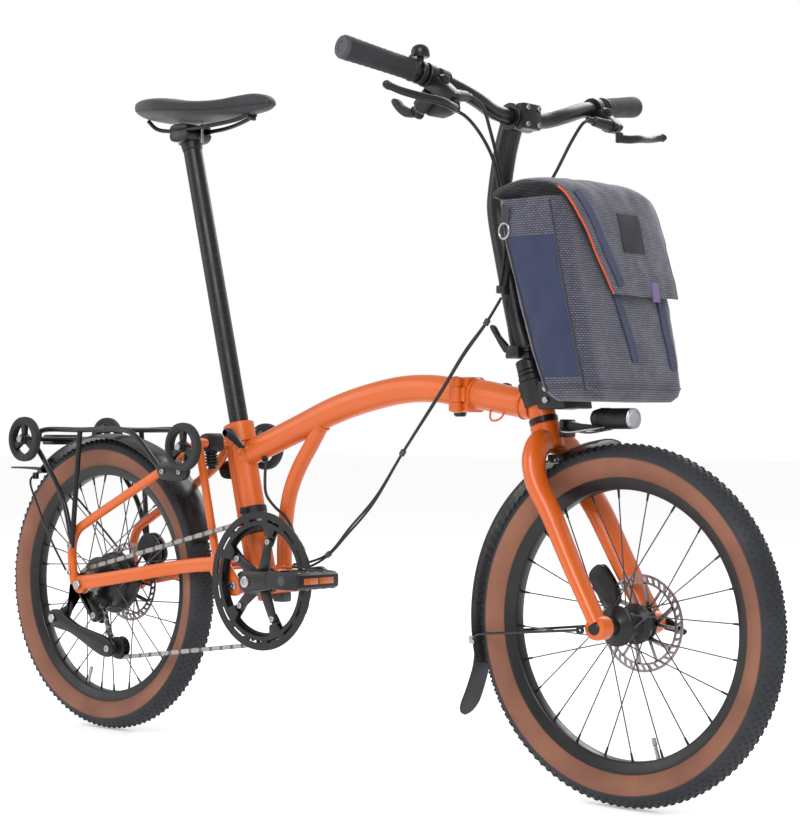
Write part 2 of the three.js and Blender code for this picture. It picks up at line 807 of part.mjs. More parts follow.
const RAIL_RADIUS = 3.5;
const rail = tube(
  [
    at(-424, 33, 1052), at(-410, 30, 1044), at(-384, 24, 1040), at(-312, 23, 1040),
    at(-272, 18, 1042), at(-226, 9, 1046), at(-204, 7, 1047.6),
  ],
  RAIL_RADIUS,
  8,
  12,
);
const headTop = seatPoint(SEATPOST_TOP + 18);
part(
  "saddle_clamp",
  join(
    rod(seatPoint(SEATPOST_TOP + GAP), headTop, 17.5, 16),
    block([headTop.x - 24, -29, 1022], [headTop.x + 20, 29, 1046]),
    bothSides(rail),
    crossBar(at(-205, 0, 1047.6), -7, 7, RAIL_RADIUS, 8),
  ),
  STEEL,
);

// Stations along the saddle: X, half width, underside and top.
const SADDLE_STATIONS = [
  [-434, 46, 1066, 1087], [-425, 64, 1060, 1094], [-404, 74, 1057, 1097], [-370, 77, 1056.5, 1094],
  [-335, 68, 1056, 1087], [-300, 52, 1054, 1083], [-262, 36, 1053, 1083.5], [-225, 26, 1052.4, 1087],
  [-195, 21, 1053, 1087], [-172, 16, 1056, 1081], [-156, 8, 1063, 1072],
];
function saddleRing([x, half, low, high]) {
  const middle = low + (high - low) * 0.55;
  const shoulder = high - (high - low) * 0.12;
  return [
    [half, middle], [half * 0.84, shoulder], [half * 0.4, high], [-half * 0.4, high],
    [-half * 0.84, shoulder], [-half, middle], [-half * 0.86, low], [half * 0.86, low],
  ].map(([y, z]) => at(x, y, z));
}
part("saddle", loft(SADDLE_STATIONS.map(saddleRing)), BLACK);

// ---------------------------------------------------------------- rear frame
const DROPOUT = { inner: 62.3, outer: 73 };
const chainStay = tube(
  [at(-574, 68, 259), at(-520, 67, 266), at(-430, 58, 281), at(-345, 41.5, 296), at(-300, 39, 302),
    at(-236, 38.5, 308)],
  () => [5, 12.5],
  8,
  9,
);
const pivotPlate = plate(
  [[-252, 319], [-224, 317], [-186, 277], [-190, 260], [-208, 257], [-258, 296]],
  33.5,
  41.5,
);
const seatStay = tube(
  [
    at(-572, 70.5, 258), at(-578, 70.5, 290), at(-578, 70.5, 328), at(-566, 70, 351), at(-530, 69, 372),
    at(-452, 66, 411), at(-350, 56, 465), at(-312, 44, 491), at(-294, 37, 507),
  ],
  7.8,
  8,
  12,
);
const strut = rod(at(-293, 35.5, 510), at(-244, 36, 308), 6.8, 10);
const rearSide = join(
  chainStay,
  pivotPlate,
  seatStay,
  strut,
  crossBar(REAR_AXLE, DROPOUT.inner, DROPOUT.outer, 15, 16),
  crossBar(at(-294, 0, 507), 16.8, 37, 8.5, 12),
);
part(
  "rear_frame",
  join(
    bothSides(rearSide),
    crossBar(REAR_AXLE, -68, 68, AXLE_RADIUS, 14),
    crossBar(REAR_PIVOT, -41.5, 41.5, 6, 12),
    crossBar(at(-243, 0, 305), -38, 38, 6, 10),
  ),
  ORANGE,
);
part(
  "suspension_block",
  join(
    plate([[-316, 498], [-310, 522], [-288, 523], [-285, 515], [-285, 496], [-292, 492]], -16.5, 16.5),
    rod(at(-300, 0, 493), at(-297, 0, 462), 11, 12),
  ),
  BLACK,
);
part(
  "rear_mudguard",
  join(
    guard(REAR_AXLE, 19, 133, 14),
    plate([[-734, 455], [-745, 458], [-838, 459], [-838, 456], [-742, 448.5], [-736, 446]], -19, 19),
  ),
  BLACK,
);

const RACK_ROD = 4.6;
const rackRail = tube(
  [at(-684, 62, 513), at(-676, 68, 523), at(-660, 70, 527.5), at(-560, 70, 528), at(-442, 70, 528),
    at(-415, 70, 519), at(-348, 71, 462)],
  RACK_ROD,
  6,
  12,
);
const rackStay = rod(at(-560, 70.5, 527), at(-560, 87, 322), RACK_ROD, 6);
const rackBrace = tube([at(-684, 78, 510), at(-642, 80, 468), at(-586, 84, 400),
  at(-562, 86, 335)], RACK_ROD, 6, 6);
const frontBracket = join(
  plate([[-352, 474], [-344, 448], [-300, 444], [-280, 450], [-280, 472], [-300, 474]], 66, 76),
  rod(at(-286, 71, 466), at(-265, 83, 501), 5, 8),
);
const rollerStud = (x, z) => crossBar(at(x, 0, z), 82, 105, 4, 10);
part(
  "rack",
  join(
    bothSides(join(rackRail, rackStay, rackBrace, frontBracket, rollerStud(-684, 511), rollerStud(-265,
      501))),
    crossBar(at(-684, 0, 511), -84, 84, RACK_ROD, 8),
    crossBar(at(-442, 0, 528), -70, 70, 4.2, 8),
    crossBar(at(-610, 0, 528), -70, 70, 4.2, 8),
    plate([[-716, 500], [-712, 519], [-684, 519], [-682, 500]], -32, 32),
  ),
  BLACK,
);
part(
  "rear_caliper",
  cut(
    plate([[-531, 318], [-520, 340], [-500, 346], [-478, 332], [-470, 306], [-484, 292],
      [-508, 296]], 37, 57),
    crossBar(REAR_AXLE, 42.4, 47.6, ROTOR_RADIUS + 3, 24),
  ),
  BLACK,
);

// A three-spoked roller that the folded bicycle stands and rolls on.
function rackRoller(x, y, z) {
  const centre = at(x, y, z);
  const half = 7.5;
  const rimRing = turned([[30, -half], [40, -half + 2], [40, half - 2], [30, half],
    [30, -half]], centre, 16);
  const hub = turned([[4.4, -half], [9, -half], [9, half], [4.4, half], [4.4, -half]], centre, 10);
  const arms = [90, 210, 330].map((degrees) =>
    rod(onCircle(centre, 7, degrees), onCircle(centre, 33, degrees), 4.5, 6),
  );
  return join(rimRing, hub, arms);
}
const ROLLER_Y = 95;
part("rack_roller_rear_left", rackRoller(-684, ROLLER_Y, 511), RUBBER);
part("rack_roller_rear_right", rackRoller(-684, -ROLLER_Y, 511), RUBBER);
part("rack_roller_front_left", rackRoller(-265, ROLLER_Y, 501), RUBBER);
part("rack_roller_front_right", rackRoller(-265, -ROLLER_Y, 501), RUBBER);

// ---------------------------------------------------------------- chain and tensioner
const TENSION_PIVOT = at(-626, 0, 195);
const TENSION_ROLLER = at(-477, 0, 152);
const GUIDE_PULLEY = at(-533, 0, 204);

part(
  "chain_guide",
  join(
    plate([[-594, 276], [-582, 276], [-580, 240], [-590, 218], [-612, 186], [-636, 187], [-637, 203],
      [-608, 219], [-598, 246]], -59.4, -53),
    plate([[-582, 250], [-580, 236], [-536, 192], [-522, 200], [-524, 212], [-572, 238]], -59.4, -53),
    crossBar(GUIDE_PULLEY, -54, -40, 11, 14),
    crossBar(GUIDE_PULLEY, -42.6, -40, 15, 14),
    crossBar(TENSION_PIVOT, -79, -53, 5, 12),
  ),
  BLACK,
);
part(
  "tensioner_arm",
  join(
    cut(
      plate([[-640, 196], [-633, 209], [-614, 210], [-560, 186], [-474, 166], [-462, 152], [-472, 138],
        [-492, 138], [-580, 172], [-630, 181]], -76, -66),
      crossBar(TENSION_PIVOT, -90, -60, 5.3, 12),
    ),
    crossBar(TENSION_ROLLER, -67, -39, 4, 10),
  ),
  BLACK,
);
part(
  "tensioner_roller",
  turned(
    [
      [4.4, -57], [12, -57], [19, -55], [19, -52], [12.4, -51], [12.4, -43], [19, -42], [19, -39.5],
        [4.4, -39.5], [4.4, -57],
    ],
    at(TENSION_ROLLER.x, 0, TENSION_ROLLER.z),
    16,
  ),
  BLACK,
);

// The chain's centre line is four arcs joined by straight runs: over the ring, under the
// tensioner's roller, past the guide pulley and round the sprocket. A straight run touches
// two circles where their radii are square to it; reach is the difference of the two radii
// when both lie on the same side of the run, and their sum when it crosses between them.
function touchDegrees(from, to, reach, turn) {
  const apart = to.clone().sub(from);
  const distance = Math.hypot(apart.x, apart.z);
  const angle = Math.atan2(apart.z, apart.x) + turn * Math.acos(reach / distance);
  return (angle * 180) / Math.PI;
}
const CHAIN_HALF_HEIGHT = 3.8;
const CHAIN_HALF_WIDTH = 3.5;
const RING_PITCH = 101;
const SPROCKET_PITCH = 27.6;
const TENSION_PITCH = 17.2;
const GUIDE_PITCH = 15.6;
const topRun = touchDegrees(REAR_AXLE, BOTTOM_BRACKET, SPROCKET_PITCH - RING_PITCH, 1);
const lowRun = touchDegrees(TENSION_ROLLER, BOTTOM_BRACKET, TENSION_PITCH - RING_PITCH, -1);
const backRun = touchDegrees(TENSION_ROLLER, GUIDE_PULLEY, TENSION_PITCH + GUIDE_PITCH, 1);
const sprocketRun = touchDegrees(GUIDE_PULLEY, REAR_AXLE, GUIDE_PITCH + SPROCKET_PITCH, -1);
const CHAIN_ARCS = [
  { centre: BOTTOM_BRACKET, radius: RING_PITCH, from: topRun, to: lowRun, steps: 16 },
  { centre: TENSION_ROLLER, radius: TENSION_PITCH, from: lowRun + 360, to: backRun, steps: 3 },
  { centre: GUIDE_PULLEY, radius: GUIDE_PITCH, from: backRun - 180, to: sprocketRun, steps: 2 },
  { centre: REAR_AXLE, radius: SPROCKET_PITCH, from: sprocketRun + 180, to: topRun, steps: 6 },
];
const chainPath = CHAIN_ARCS.flatMap(({ centre, radius, from, to, steps }) =>
  Array.from({ length: steps + 1 }, (_, i) =>
    onCircle(centre, radius, from + ((to - from) * i) / steps, CHAIN_PLANE),
  ),
);
const chainRings = chainPath.map((centre, i) => {
  const before = chainPath[(i + chainPath.length - 1) % chainPath.length];
  const after = chainPath[(i + 1) % chainPath.length];
  const along = after.clone().sub(centre).normalize().add(centre.clone().sub(before).normalize());
  const up = along.normalize().cross(at(0, 1, 0)).multiplyScalar(CHAIN_HALF_HEIGHT);
  const side = at(0, CHAIN_HALF_WIDTH, 0);
  return [
    centre.clone().add(up).add(side),
    centre.clone().sub(up).add(side),
    centre.clone().sub(up).sub(side),
    centre.clone().add(up).sub(side),
  ];
});
part("chain", loft(chainRings, true), STEEL);

// ---------------------------------------------------------------- cranks and pedals
const CRANK_DIRECTION = at(Math.cos(CRANK_ANGLE), 0, Math.sin(CRANK_ANGLE));
const PEDAL_RIGHT = BOTTOM_BRACKET.clone().addScaledVector(CRANK_DIRECTION, CRANK_LENGTH);
const PEDAL_LEFT = BOTTOM_BRACKET.clone().addScaledVector(CRANK_DIRECTION, -CRANK_LENGTH);
const ARM = { inner: 76, outer: 90 };

// A crank arm's outline: a long taper with a round end at each axis.
function armOutline(end, wide, narrow) {
  const along = end.clone().sub(BOTTOM_BRACKET).normalize();
  const base = Math.atan2(along.z, along.x);
  const outline = [];
  for (let i = 0; i <= 6; i++) {
    const angle = base + Math.PI / 2 + (i / 6) * Math.PI;
    outline.push([BOTTOM_BRACKET.x + wide * Math.cos(angle),
      BOTTOM_BRACKET.z + wide * Math.sin(angle)]);
  }
  for (let i = 0; i <= 6; i++) {
    const angle = base - Math.PI / 2 + (i / 6) * Math.PI;
    outline.push([end.x + narrow * Math.cos(angle), end.z + narrow * Math.sin(angle)]);
  }
  return outline;
}

const SPIDER_ANGLES = [0, 1, 2, 3, 4].map((i) => 5 + i * 72);
const spiderArms = SPIDER_ANGLES.map((degrees) => {
  const inner = onCircle(BOTTOM_BRACKET, 8, degrees);
  const outer = onCircle(BOTTOM_BRACKET, 70, degrees);
  const across = at(-(outer.z - inner.z), 0, outer.x - inner.x).normalize();
  const corner = (p, half) => [p.x + across.x * half, p.z + across.z * half];
  return plate([corner(inner, 12), corner(inner, -12), corner(outer, -7.5), corner(outer, 7.5)], -53.7,
    -49.3);
});
part(
  "crankset",
  join(
    crossBar(BOTTOM_BRACKET, -84, 84, 9.2, 14),
    crossBar(BOTTOM_BRACKET, -78, -49.3, 20, 14),
    spiderArms,
    plate(armOutline(PEDAL_RIGHT, 18, 13), -ARM.outer, -ARM.inner),
    plate(armOutline(PEDAL_LEFT, 18, 13), ARM.inner, ARM.outer),
    crossBar(PEDAL_RIGHT, -172, -ARM.inner - 4, 6, 12),
    crossBar(PEDAL_LEFT, ARM.inner + 4, 172, 6, 12),
  ),
  BLACK,
);

const ringTabs = SPIDER_ANGLES.map((degrees) => {
  const inner = onCircle(BOTTOM_BRACKET, 58, degrees);
  const outer = onCircle(BOTTOM_BRACKET, 88, degrees);
  const across = at(-(outer.z - inner.z), 0, outer.x - inner.x).normalize();
  const corner = (p, half) => [p.x + across.x * half, p.z + across.z * half];
  return plate([corner(inner, 6), corner(inner, -6), corner(outer, -12), corner(outer, 12)], -49, -45);
});
const guardPosts = Array.from({ length: 10 }, (_, i) =>
  crossBar(onCircle(BOTTOM_BRACKET, 93, i * 36 + 5), -54.5, -48.5, 3, 6),
);
const flatRing = (inner, outer, low, high) =>
  turned(
    [[inner, low], [outer, low], [outer, high], [inner, high], [inner, low]],
    at(BOTTOM_BRACKET.x, 0, BOTTOM_BRACKET.z),
    30,
  );
part("chainring", join(flatRing(84, 96.4, -49, -45), flatRing(91, GUARD_RADIUS, -57.3, -54), ringTabs,
  guardPosts), BLACK);

function pedal(centre) {
  const outline = [[-38, -9], [-32, -14], [32, -14], [38, -9], [38, 9], [32, 14], [-32, 14], [-38, 9]];
  const body = plate(outline.map(([x, z]) => [centre.x + x, centre.z + z]), -180, -92);
  const window = (low, high) =>
    block([centre.x + low, -164, centre.z - 20], [centre.x + high, -108, centre.z + 20]);
  return cut(body, window(-27, -12), window(12, 27), crossBar(centre, -173, -80, 6.4, 12));
}
part("pedal_right", pedal(PEDAL_RIGHT), BLACK);
part("pedal_left", mirrored(pedal(PEDAL_LEFT)), BLACK);

export default group;
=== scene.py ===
"""The folding bicycle's visual model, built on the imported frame.

Lengths are in millimetres, with every X measured from mid-wheelbase as in the CAD, and piece()
moves the finished shapes into the part's frame, in metres. The floor, the lights and the camera
at the end are placed in metres.
"""
import math

import bmesh
import bpy
from mathutils import Matrix, Vector, noise


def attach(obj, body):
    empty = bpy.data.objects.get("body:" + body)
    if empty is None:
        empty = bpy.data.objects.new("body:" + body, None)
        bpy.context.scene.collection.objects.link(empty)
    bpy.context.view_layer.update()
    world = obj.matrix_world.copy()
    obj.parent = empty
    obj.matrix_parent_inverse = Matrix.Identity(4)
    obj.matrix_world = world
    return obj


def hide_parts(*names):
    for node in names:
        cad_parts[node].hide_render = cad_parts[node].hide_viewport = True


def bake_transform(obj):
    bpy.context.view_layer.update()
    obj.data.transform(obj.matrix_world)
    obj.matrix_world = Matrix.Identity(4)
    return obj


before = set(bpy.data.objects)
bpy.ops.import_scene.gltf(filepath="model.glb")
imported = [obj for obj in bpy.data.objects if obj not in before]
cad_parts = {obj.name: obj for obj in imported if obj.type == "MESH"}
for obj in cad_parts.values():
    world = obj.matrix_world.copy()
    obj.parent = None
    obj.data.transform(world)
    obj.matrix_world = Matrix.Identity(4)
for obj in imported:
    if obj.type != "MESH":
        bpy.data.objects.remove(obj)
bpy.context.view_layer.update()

MM = 0.001
FRAME_SHIFT = 11.0
WHEELBASE = 1118.0
WHEEL_RADIUS = 257.0
FRONT_AXLE = Vector((WHEELBASE / 2, 0, WHEEL_RADIUS))
REAR_AXLE = Vector((-WHEELBASE / 2, 0, WHEEL_RADIUS))
BOTTOM_BRACKET = Vector((-122, 0, 286))
CRANK_LENGTH = 172.5
CRANK_DEGREES = 5.0
REAR_PIVOT = Vector((-200, 0, 273))
HINGE_PIN = Vector((266.5, -27, 584))
POST_HINGE_Y = 28.0
POST_HINGE_Z = 645.2
BAR_CENTRE = Vector((362, 0, 992))
CHAIN_PLANE = -47.0
GUARD_RADIUS = 112.0
ACROSS = Vector((0, 1, 0))


def at(x, y, z):
    return Vector((x, y, z))


def seat_point(z):
    """A point on the seat tube's axis at a height."""
    return at(-223.6 + (511 - z) * 0.2556, 0, z)


def steer_point(z):
    """A point on the steering axis at a height."""
    return at(413 - (z - 537) * 0.3153, 0, z)


def on_circle(centre, radius, degrees, y=None):
    angle = math.radians(degrees)
    height = centre.y if y is None else y
    return at(centre.x + radius * math.cos(angle), height, centre.z + radius * math.sin(angle))


# ------------------------------------------------------------------ materials
def srgb(red, green, blue):
    """A colour given as 0-255 screen values, in linear light."""
    def linear(value):
        share = value / 255
        return share / 12.92 if share <= 0.04045 else ((share + 0.055) / 1.055) ** 2.4
    return (linear(red), linear(green), linear(blue), 1.0)


def set_inputs(node, values):
    for name, value in values.items():
        node.inputs[name].default_value = value


class Finish:
    """A procedural material and the small node helpers that build it."""

    def __init__(self, name, colour, roughness, metallic=0.0, coat=0.0, sheen=0.0, clear=0.0):
        self.material = bpy.data.materials.new(name)
        self.material.use_nodes = True
        self.nodes = self.material.node_tree.nodes
        self.links = self.material.node_tree.links
        self.shader = self.nodes["Principled BSDF"]
        set_inputs(self.shader, {
            "Base Color": colour, "Roughness": roughness, "Metallic": metallic,
            "Coat Weight": coat, "Sheen Weight": sheen, "Transmission Weight": clear,
        })
        self.place = self.nodes.new("ShaderNodeTexCoord").outputs["Object"]
        self.bump_height = None

    def noise(self, scale, detail=4.0, stretch=(1, 1, 1)):
        mapping = self.nodes.new("ShaderNodeMapping")
        set_inputs(mapping, {"Scale": stretch})
        self.links.new(self.place, mapping.inputs["Vector"])
        texture = self.nodes.new("ShaderNodeTexNoise")
        set_inputs(texture, {"Scale": scale, "Detail": detail})
        self.links.new(mapping.outputs["Vector"], texture.inputs["Vector"])
        return texture.outputs["Fac"]

    def remap(self, value, low, high, start=0.3, end=0.7):
        ranged = self.nodes.new("ShaderNodeMapRange")
        set_inputs(ranged, {"From Min": start, "From Max": end, "To Min": low, "To Max": high})
        self.links.new(value, ranged.inputs["Value"])
        return ranged.outputs["Result"]

    def blend(self, factor, first, second):
        mix = self.nodes.new("ShaderNodeMix")
        mix.data_type = "RGBA"
        self.links.new(factor, mix.inputs["Factor"])
        for socket, colour in ((mix.inputs[6], first), (mix.inputs[7], second)):
            if isinstance(colour, tuple):
                socket.default_value = colour
            else:
                self.links.new(colour, socket)
        return mix.outputs[2]

    def tint(self, first, second, scale, detail=4.0):
        """Base colour wandering between two colours."""
        factor = self.remap(self.noise(scale, detail), 0.0, 1.0)
        self.links.new(self.blend(factor, first, second), self.shader.inputs["Base Color"])
        return self

    def gloss(self, low, high, scale):
        """Roughness wandering between two values."""
        self.links.new(self.remap(self.noise(scale), low, high), self.shader.inputs["Roughness"])
        return self

    def bump(self, height, strength, distance):
        node = self.nodes.new("ShaderNodeBump")
        set_inputs(node, {"Strength": strength, "Distance": distance})
        self.links.new(height, node.inputs["Height"])
        if self.bump_height is not None:
            self.links.new(self.bump_height, node.inputs["Normal"])
        self.bump_height = node.outputs["Normal"]
        self.links.new(self.bump_height, self.shader.inputs["Normal"])
        return self

    def grain(self, scale, strength, distance=0.0004, stretch=(1, 1, 1)):
        return self.bump(self.noise(scale, 6.0, stretch), strength, distance)


def shaded(colour, factor, lift=0.0):
    """A colour with its channels scaled, and lifted by the same amount."""
    return tuple(channel * factor + lift for channel in colour[:3]) + (1.0,)


def plastic(name, colour, roughness, grain=900.0):
    dark = shaded(colour, 0.75)
    light = shaded(colour, 1.3)
    made = Finish(name, colour, roughness).tint(dark, light, 18.0)
    set_inputs(made.shader, {"Specular IOR Level": 0.38})
    return made.gloss(roughness - 0.07, roughness + 0.1, 30.0).grain(grain, 0.25, 0.0003)


def metal(name, colour, roughness, brushed=(1, 1, 1)):
    dark = shaded(colour, 0.8)
    made = Finish(name, colour, roughness, metallic=1.0).tint(dark, colour, 25.0)
    made.gloss(roughness - 0.06, roughness + 0.12, 60.0)
    return made.grain(400.0, 0.08, 0.0002, brushed)


def painted(name, colour, shade, roughness):
    made = Finish(name, colour, roughness, coat=0.22).tint(shade, colour, 3.0)
    set_inputs(made.shader, {"Coat Roughness": 0.12})
    made.gloss(roughness - 0.06, roughness + 0.08, 9.0)
    return made.grain(700.0, 0.05, 0.0002)


def woven(name, base, light, thread, sheen=0.35):
    """Cloth whose threads run along (x + y) and z, which suits upright panels."""
    made = Finish(name, base, 0.85, sheen=sheen)
    parts = made.nodes.new("ShaderNodeSeparateXYZ")
    made.links.new(made.place, parts.inputs[0])
    around = made.nodes.new("ShaderNodeMath")
    around.operation = "ADD"
    made.links.new(parts.outputs["X"], around.inputs[0])
    made.links.new(parts.outputs["Y"], around.inputs[1])
    flat = made.nodes.new("ShaderNodeCombineXYZ")
    made.links.new(around.outputs[0], flat.inputs["X"])
    made.links.new(parts.outputs["Z"], flat.inputs["Y"])
    brick = made.nodes.new("ShaderNodeTexBrick")
    middle = tuple((a + b) / 2 for a, b in zip(base, light))
    set_inputs(brick, {
        "Color1": middle, "Color2": light, "Mortar": base, "Scale": 1.0, "Bias": 0.1,
        "Mortar Size": thread * 0.27, "Brick Width": thread * 2.2, "Row Height": thread,
    })
    made.links.new(flat.outputs[0], brick.inputs["Vector"])
    made.links.new(brick.outputs["Color"], made.shader.inputs["Base Color"])
    made.bump(brick.outputs["Fac"], 0.5, -0.0004)
    return made.grain(260.0, 0.2, 0.0006)


def ribbed(name, colour, spacing, roughness=0.62):
    """Rubber with raised rings across the bicycle, as on a grip."""
    made = plastic(name, colour, roughness)
    wave = made.nodes.new("ShaderNodeTexWave")
    wave.bands_direction = "Y"
    set_inputs(wave, {"Scale": 1.0 / (spacing * 6.3), "Distortion": 0.0})
    made.links.new(made.place, wave.inputs["Vector"])
    return made.bump(wave.outputs["Fac"], 0.15, 0.0005)


def worn_rubber(name, colour, roughness):
    made = plastic(name, colour, roughness, grain=500.0)
    dust = made.remap(made.noise(11.0, 8.0), 0.0, 0.35, 0.45, 0.75)
    dusty = shaded(colour, 1.6, 0.012)
    made.links.new(made.blend(dust, colour, dusty), made.shader.inputs["Base Color"])
    return made


ORANGE = painted("orange_paint", srgb(205, 92, 14), srgb(196, 84, 10), 0.38)
BLACK_METAL = plastic("black_anodised", srgb(20, 20, 22), 0.32, grain=1200.0)
BLACK_PAINT = plastic("black_paint", srgb(20, 20, 22), 0.28, grain=1500.0)
BLACK_PLASTIC = plastic("black_plastic", srgb(23, 23, 26), 0.46)
GREY_PLASTIC = plastic("grey_plastic", srgb(60, 62, 66), 0.45)
STEEL = metal("stainless_steel", srgb(178, 176, 178), 0.28)
DISC_STEEL = metal("rotor_steel", srgb(158, 148, 150), 0.36)
CHAIN_STEEL = metal("chain_steel", srgb(165, 160, 156), 0.32)
TREAD = worn_rubber("tread_rubber", srgb(36, 38, 43), 0.72)
TAN = Finish("tan_sidewall", srgb(124, 78, 58), 0.7).tint(srgb(112, 70, 54), srgb(132, 86, 64), 14.0)
TAN.grain(1400.0, 0.3, 0.0003)
GRIP = ribbed("grip_rubber", srgb(38, 38, 42), 0.0032)
SADDLE_COVER = plastic("saddle_cover", srgb(34, 35, 39), 0.55, grain=750.0)
set_inputs(SADDLE_COVER.shader, {"Sheen Weight": 0.2})
WEAVE = woven("bag_weave", srgb(31, 31, 42), srgb(96, 96, 118), 0.0032)
NAVY = woven("bag_side", srgb(26, 34, 66), srgb(38, 48, 84), 0.0013, sheen=0.2)
PIPING = woven("bag_piping", srgb(196, 66, 30), srgb(222, 92, 46), 0.0012)
WEBBING = woven("bag_webbing", srgb(24, 25, 32), srgb(42, 43, 54), 0.0016)
PURPLE = woven("bag_tab", srgb(92, 62, 120), srgb(120, 90, 150), 0.0012)
PATCH = plastic("bag_patch", srgb(46, 46, 52), 0.55)
AMBER = Finish("amber_reflector", srgb(178, 88, 14), 0.16, coat=0.6)
AMBER.grain(420.0, 0.6, 0.0008)
RED = Finish("red_reflector", srgb(168, 22, 20), 0.15, coat=0.6).grain(420.0, 0.6, 0.0008)
LENS = Finish("clear_lens", (0.95, 0.97, 1.0, 1.0), 0.04, clear=0.85).grain(150.0, 0.25, 0.0006)
CRYSTAL = metal("lamp_reflector", srgb(120, 124, 132), 0.14)
SPOKE = metal("spoke_wire", srgb(92, 92, 97), 0.3)
CHAIN_DARK = metal("chain_inner_plates", srgb(112, 110, 106), 0.4)


# ------------------------------------------------------------------ shapes
def curve_points(points, steps, closed=False):
    """Evenly spaced points on a centripetal Catmull-Rom curve."""
    count = len(points)
    dense = []
    spans = count if closed else count - 1
    for i in range(spans):
        p1 = points[i]
        p2 = points[(i + 1) % count]
        p0 = points[i - 1] if closed or i > 0 else p1 * 2 - p2
        p3 = points[(i + 2) % count] if closed or i < count - 2 else p2 * 2 - p1
        t01 = (p1 - p0).length ** 0.5
        t12 = (p2 - p1).length ** 0.5
        t23 = (p3 - p2).length ** 0.5
        start = (p2 - p1) + ((p1 - p0) / t01 - (p2 - p0) / (t01 + t12)) * t12
        end = (p2 - p1) + ((p3 - p2) / t23 - (p3 - p1) / (t12 + t23)) * t12
        for k in range(24):
            t = k / 24
            dense.append(
                p1 * (2 * t**3 - 3 * t**2 + 1)
                + start * (t**3 - 2 * t**2 + t)
                + p2 * (-2 * t**3 + 3 * t**2)
                + end * (t**3 - t**2)
            )
    dense.append(points[0] if closed else points[-1])
    lengths = [0.0]
    for a, b in zip(dense, dense[1:]):
        lengths.append(lengths[-1] + (b - a).length)
    spots = []
    k = 0
    for i in range(steps + (0 if closed else 1)):
        target = lengths[-1] * i / steps
        while k < len(lengths) - 2 and lengths[k + 1] < target:
            k += 1
        share = (target - lengths[k]) / max(lengths[k + 1] - lengths[k], 1e-9)
        spots.append(dense[k].lerp(dense[k + 1], min(share, 1.0)))
    return spots


def skin(rings, closed=False, caps=True):
    """Rings of points joined by quads, with a face at each end unless the skin closes."""
    count = len(rings[0])
    verts = [p for ring in rings for p in ring]
    faces = []
    spans = len(rings) if closed else len(rings) - 1
    for i in range(spans):
        here = i * count
        there = ((i + 1) % len(rings)) * count
        for k in range(count):
            k2 = (k + 1) % count
            faces.append((here + k, here + k2, there + k2, there + k))
    if caps and not closed:
        last = (len(rings) - 1) * count
        faces.append(tuple(reversed(range(count))))
        faces.append(tuple(last + k for k in range(count)))
    return verts, faces


def ring_around(centre, along, side, wide, high, sides):
    up = along.cross(side).normalized()
    return [
        centre
        + side * wide * math.cos(2 * math.pi * k / sides)
        + up * high * math.sin(2 * math.pi * k / sides)
        for k in range(sides)
    ]


def tube(points, size, sides=22, steps=44, closed=False, caps=True):
    """A tube along a curve; size is a radius or gives (half width, half height) per share."""
    size_at = size if callable(size) else lambda share: (size, size)
    spots = curve_points(points, steps, closed)
    rings = []
    side = Vector(ACROSS)
    for i, spot in enumerate(spots):
        after = spots[(i + 1) % len(spots)] if closed or i + 1 < len(spots) else spot
        before = spots[i - 1] if closed or i > 0 else spot
        along = (after - before).normalized()
        if abs(side.dot(along)) > 0.95:
            side = at(1, 0, 0)
        side = (side - along * side.dot(along)).normalized()
        wide, high = size_at(i / max(1, len(spots) - 1))
        rings.append(ring_around(spot, along, side, wide, high, sides))
    return skin(rings, closed, caps)


def lathe(profile, centre, axis=ACROSS, segments=96):
    """A profile of (radius, height) turned about an axis through a centre."""
    axis = Vector(axis).normalized()
    side = axis.orthogonal().normalized()
    if abs(axis.y) > 0.99:
        side = at(1, 0, 0)
    other = axis.cross(side)
    closed = profile[0] == profile[-1]
    spots = profile[:-1] if closed else profile
    rings = []
    for i in range(segments):
        angle = 2 * math.pi * i / segments
        out = side * math.cos(angle) + other * math.sin(angle)
        rings.append([centre + out * r + axis * h for r, h in spots])
    count = len(spots)
    verts = [p for ring in rings for p in ring]
    faces = []
    for i in range(segments):
        here = i * count
        there = ((i + 1) % segments) * count
        for k in range(count if closed else count - 1):
            k2 = (k + 1) % count
            faces.append((here + k, there + k, there + k2, here + k2))
    if not closed:
        faces.append(tuple(i * count for i in range(segments)))
        faces.append(tuple(i * count + count - 1 for i in reversed(range(segments))))
    return verts, faces


def rod(a, b, radius, end_radius=None, edge=0.7, segments=28):
    """A round bar from a to b with eased ends."""
    end = radius if end_radius is None else end_radius
    length = (b - a).length
    ease = min(edge, length / 3, radius / 2, end / 2)
    profile = [(radius - ease, 0), (radius, ease), (end, length - ease), (end - ease, length)]
    return lathe(profile, a, b - a, segments)


def cross_bar(centre, low, high, radius, edge=0.7, segments=32):
    return rod(at(centre.x, low, centre.z), at(centre.x, high, centre.z), radius, None, edge, segments)


def eased(verts, faces, edge, segments=2):
    """The same solid with its sharp edges rounded."""
    solid = bmesh.new()
    made = [solid.verts.new(v) for v in verts]
    for face in faces:
        solid.faces.new([made[k] for k in face])
    bmesh.ops.recalc_face_normals(solid, faces=solid.faces)
    if edge:
        sharp = [e for e in solid.edges if e.calc_face_angle(0.0) > 0.45]
        bmesh.ops.bevel(
            solid, geom=sharp, offset=edge, offset_type="OFFSET", segments=segments,
            profile=0.5, affect="EDGES", clamp_overlap=True,
        )
    solid.verts.index_update()
    out_verts = [v.co.copy() for v in solid.verts]
    out_faces = [tuple(v.index for v in f.verts) for f in solid.faces]
    solid.free()
    return out_verts, out_faces


def thickened(near, far, edge):
    """The solid between two copies of an outline, with its edges eased."""
    count = len(near)
    faces = [tuple(range(count)), tuple(reversed(range(count, 2 * count)))]
    faces += [(k, k + count, (k + 1) % count + count, (k + 1) % count) for k in range(count)]
    return eased(near + far, faces, edge)


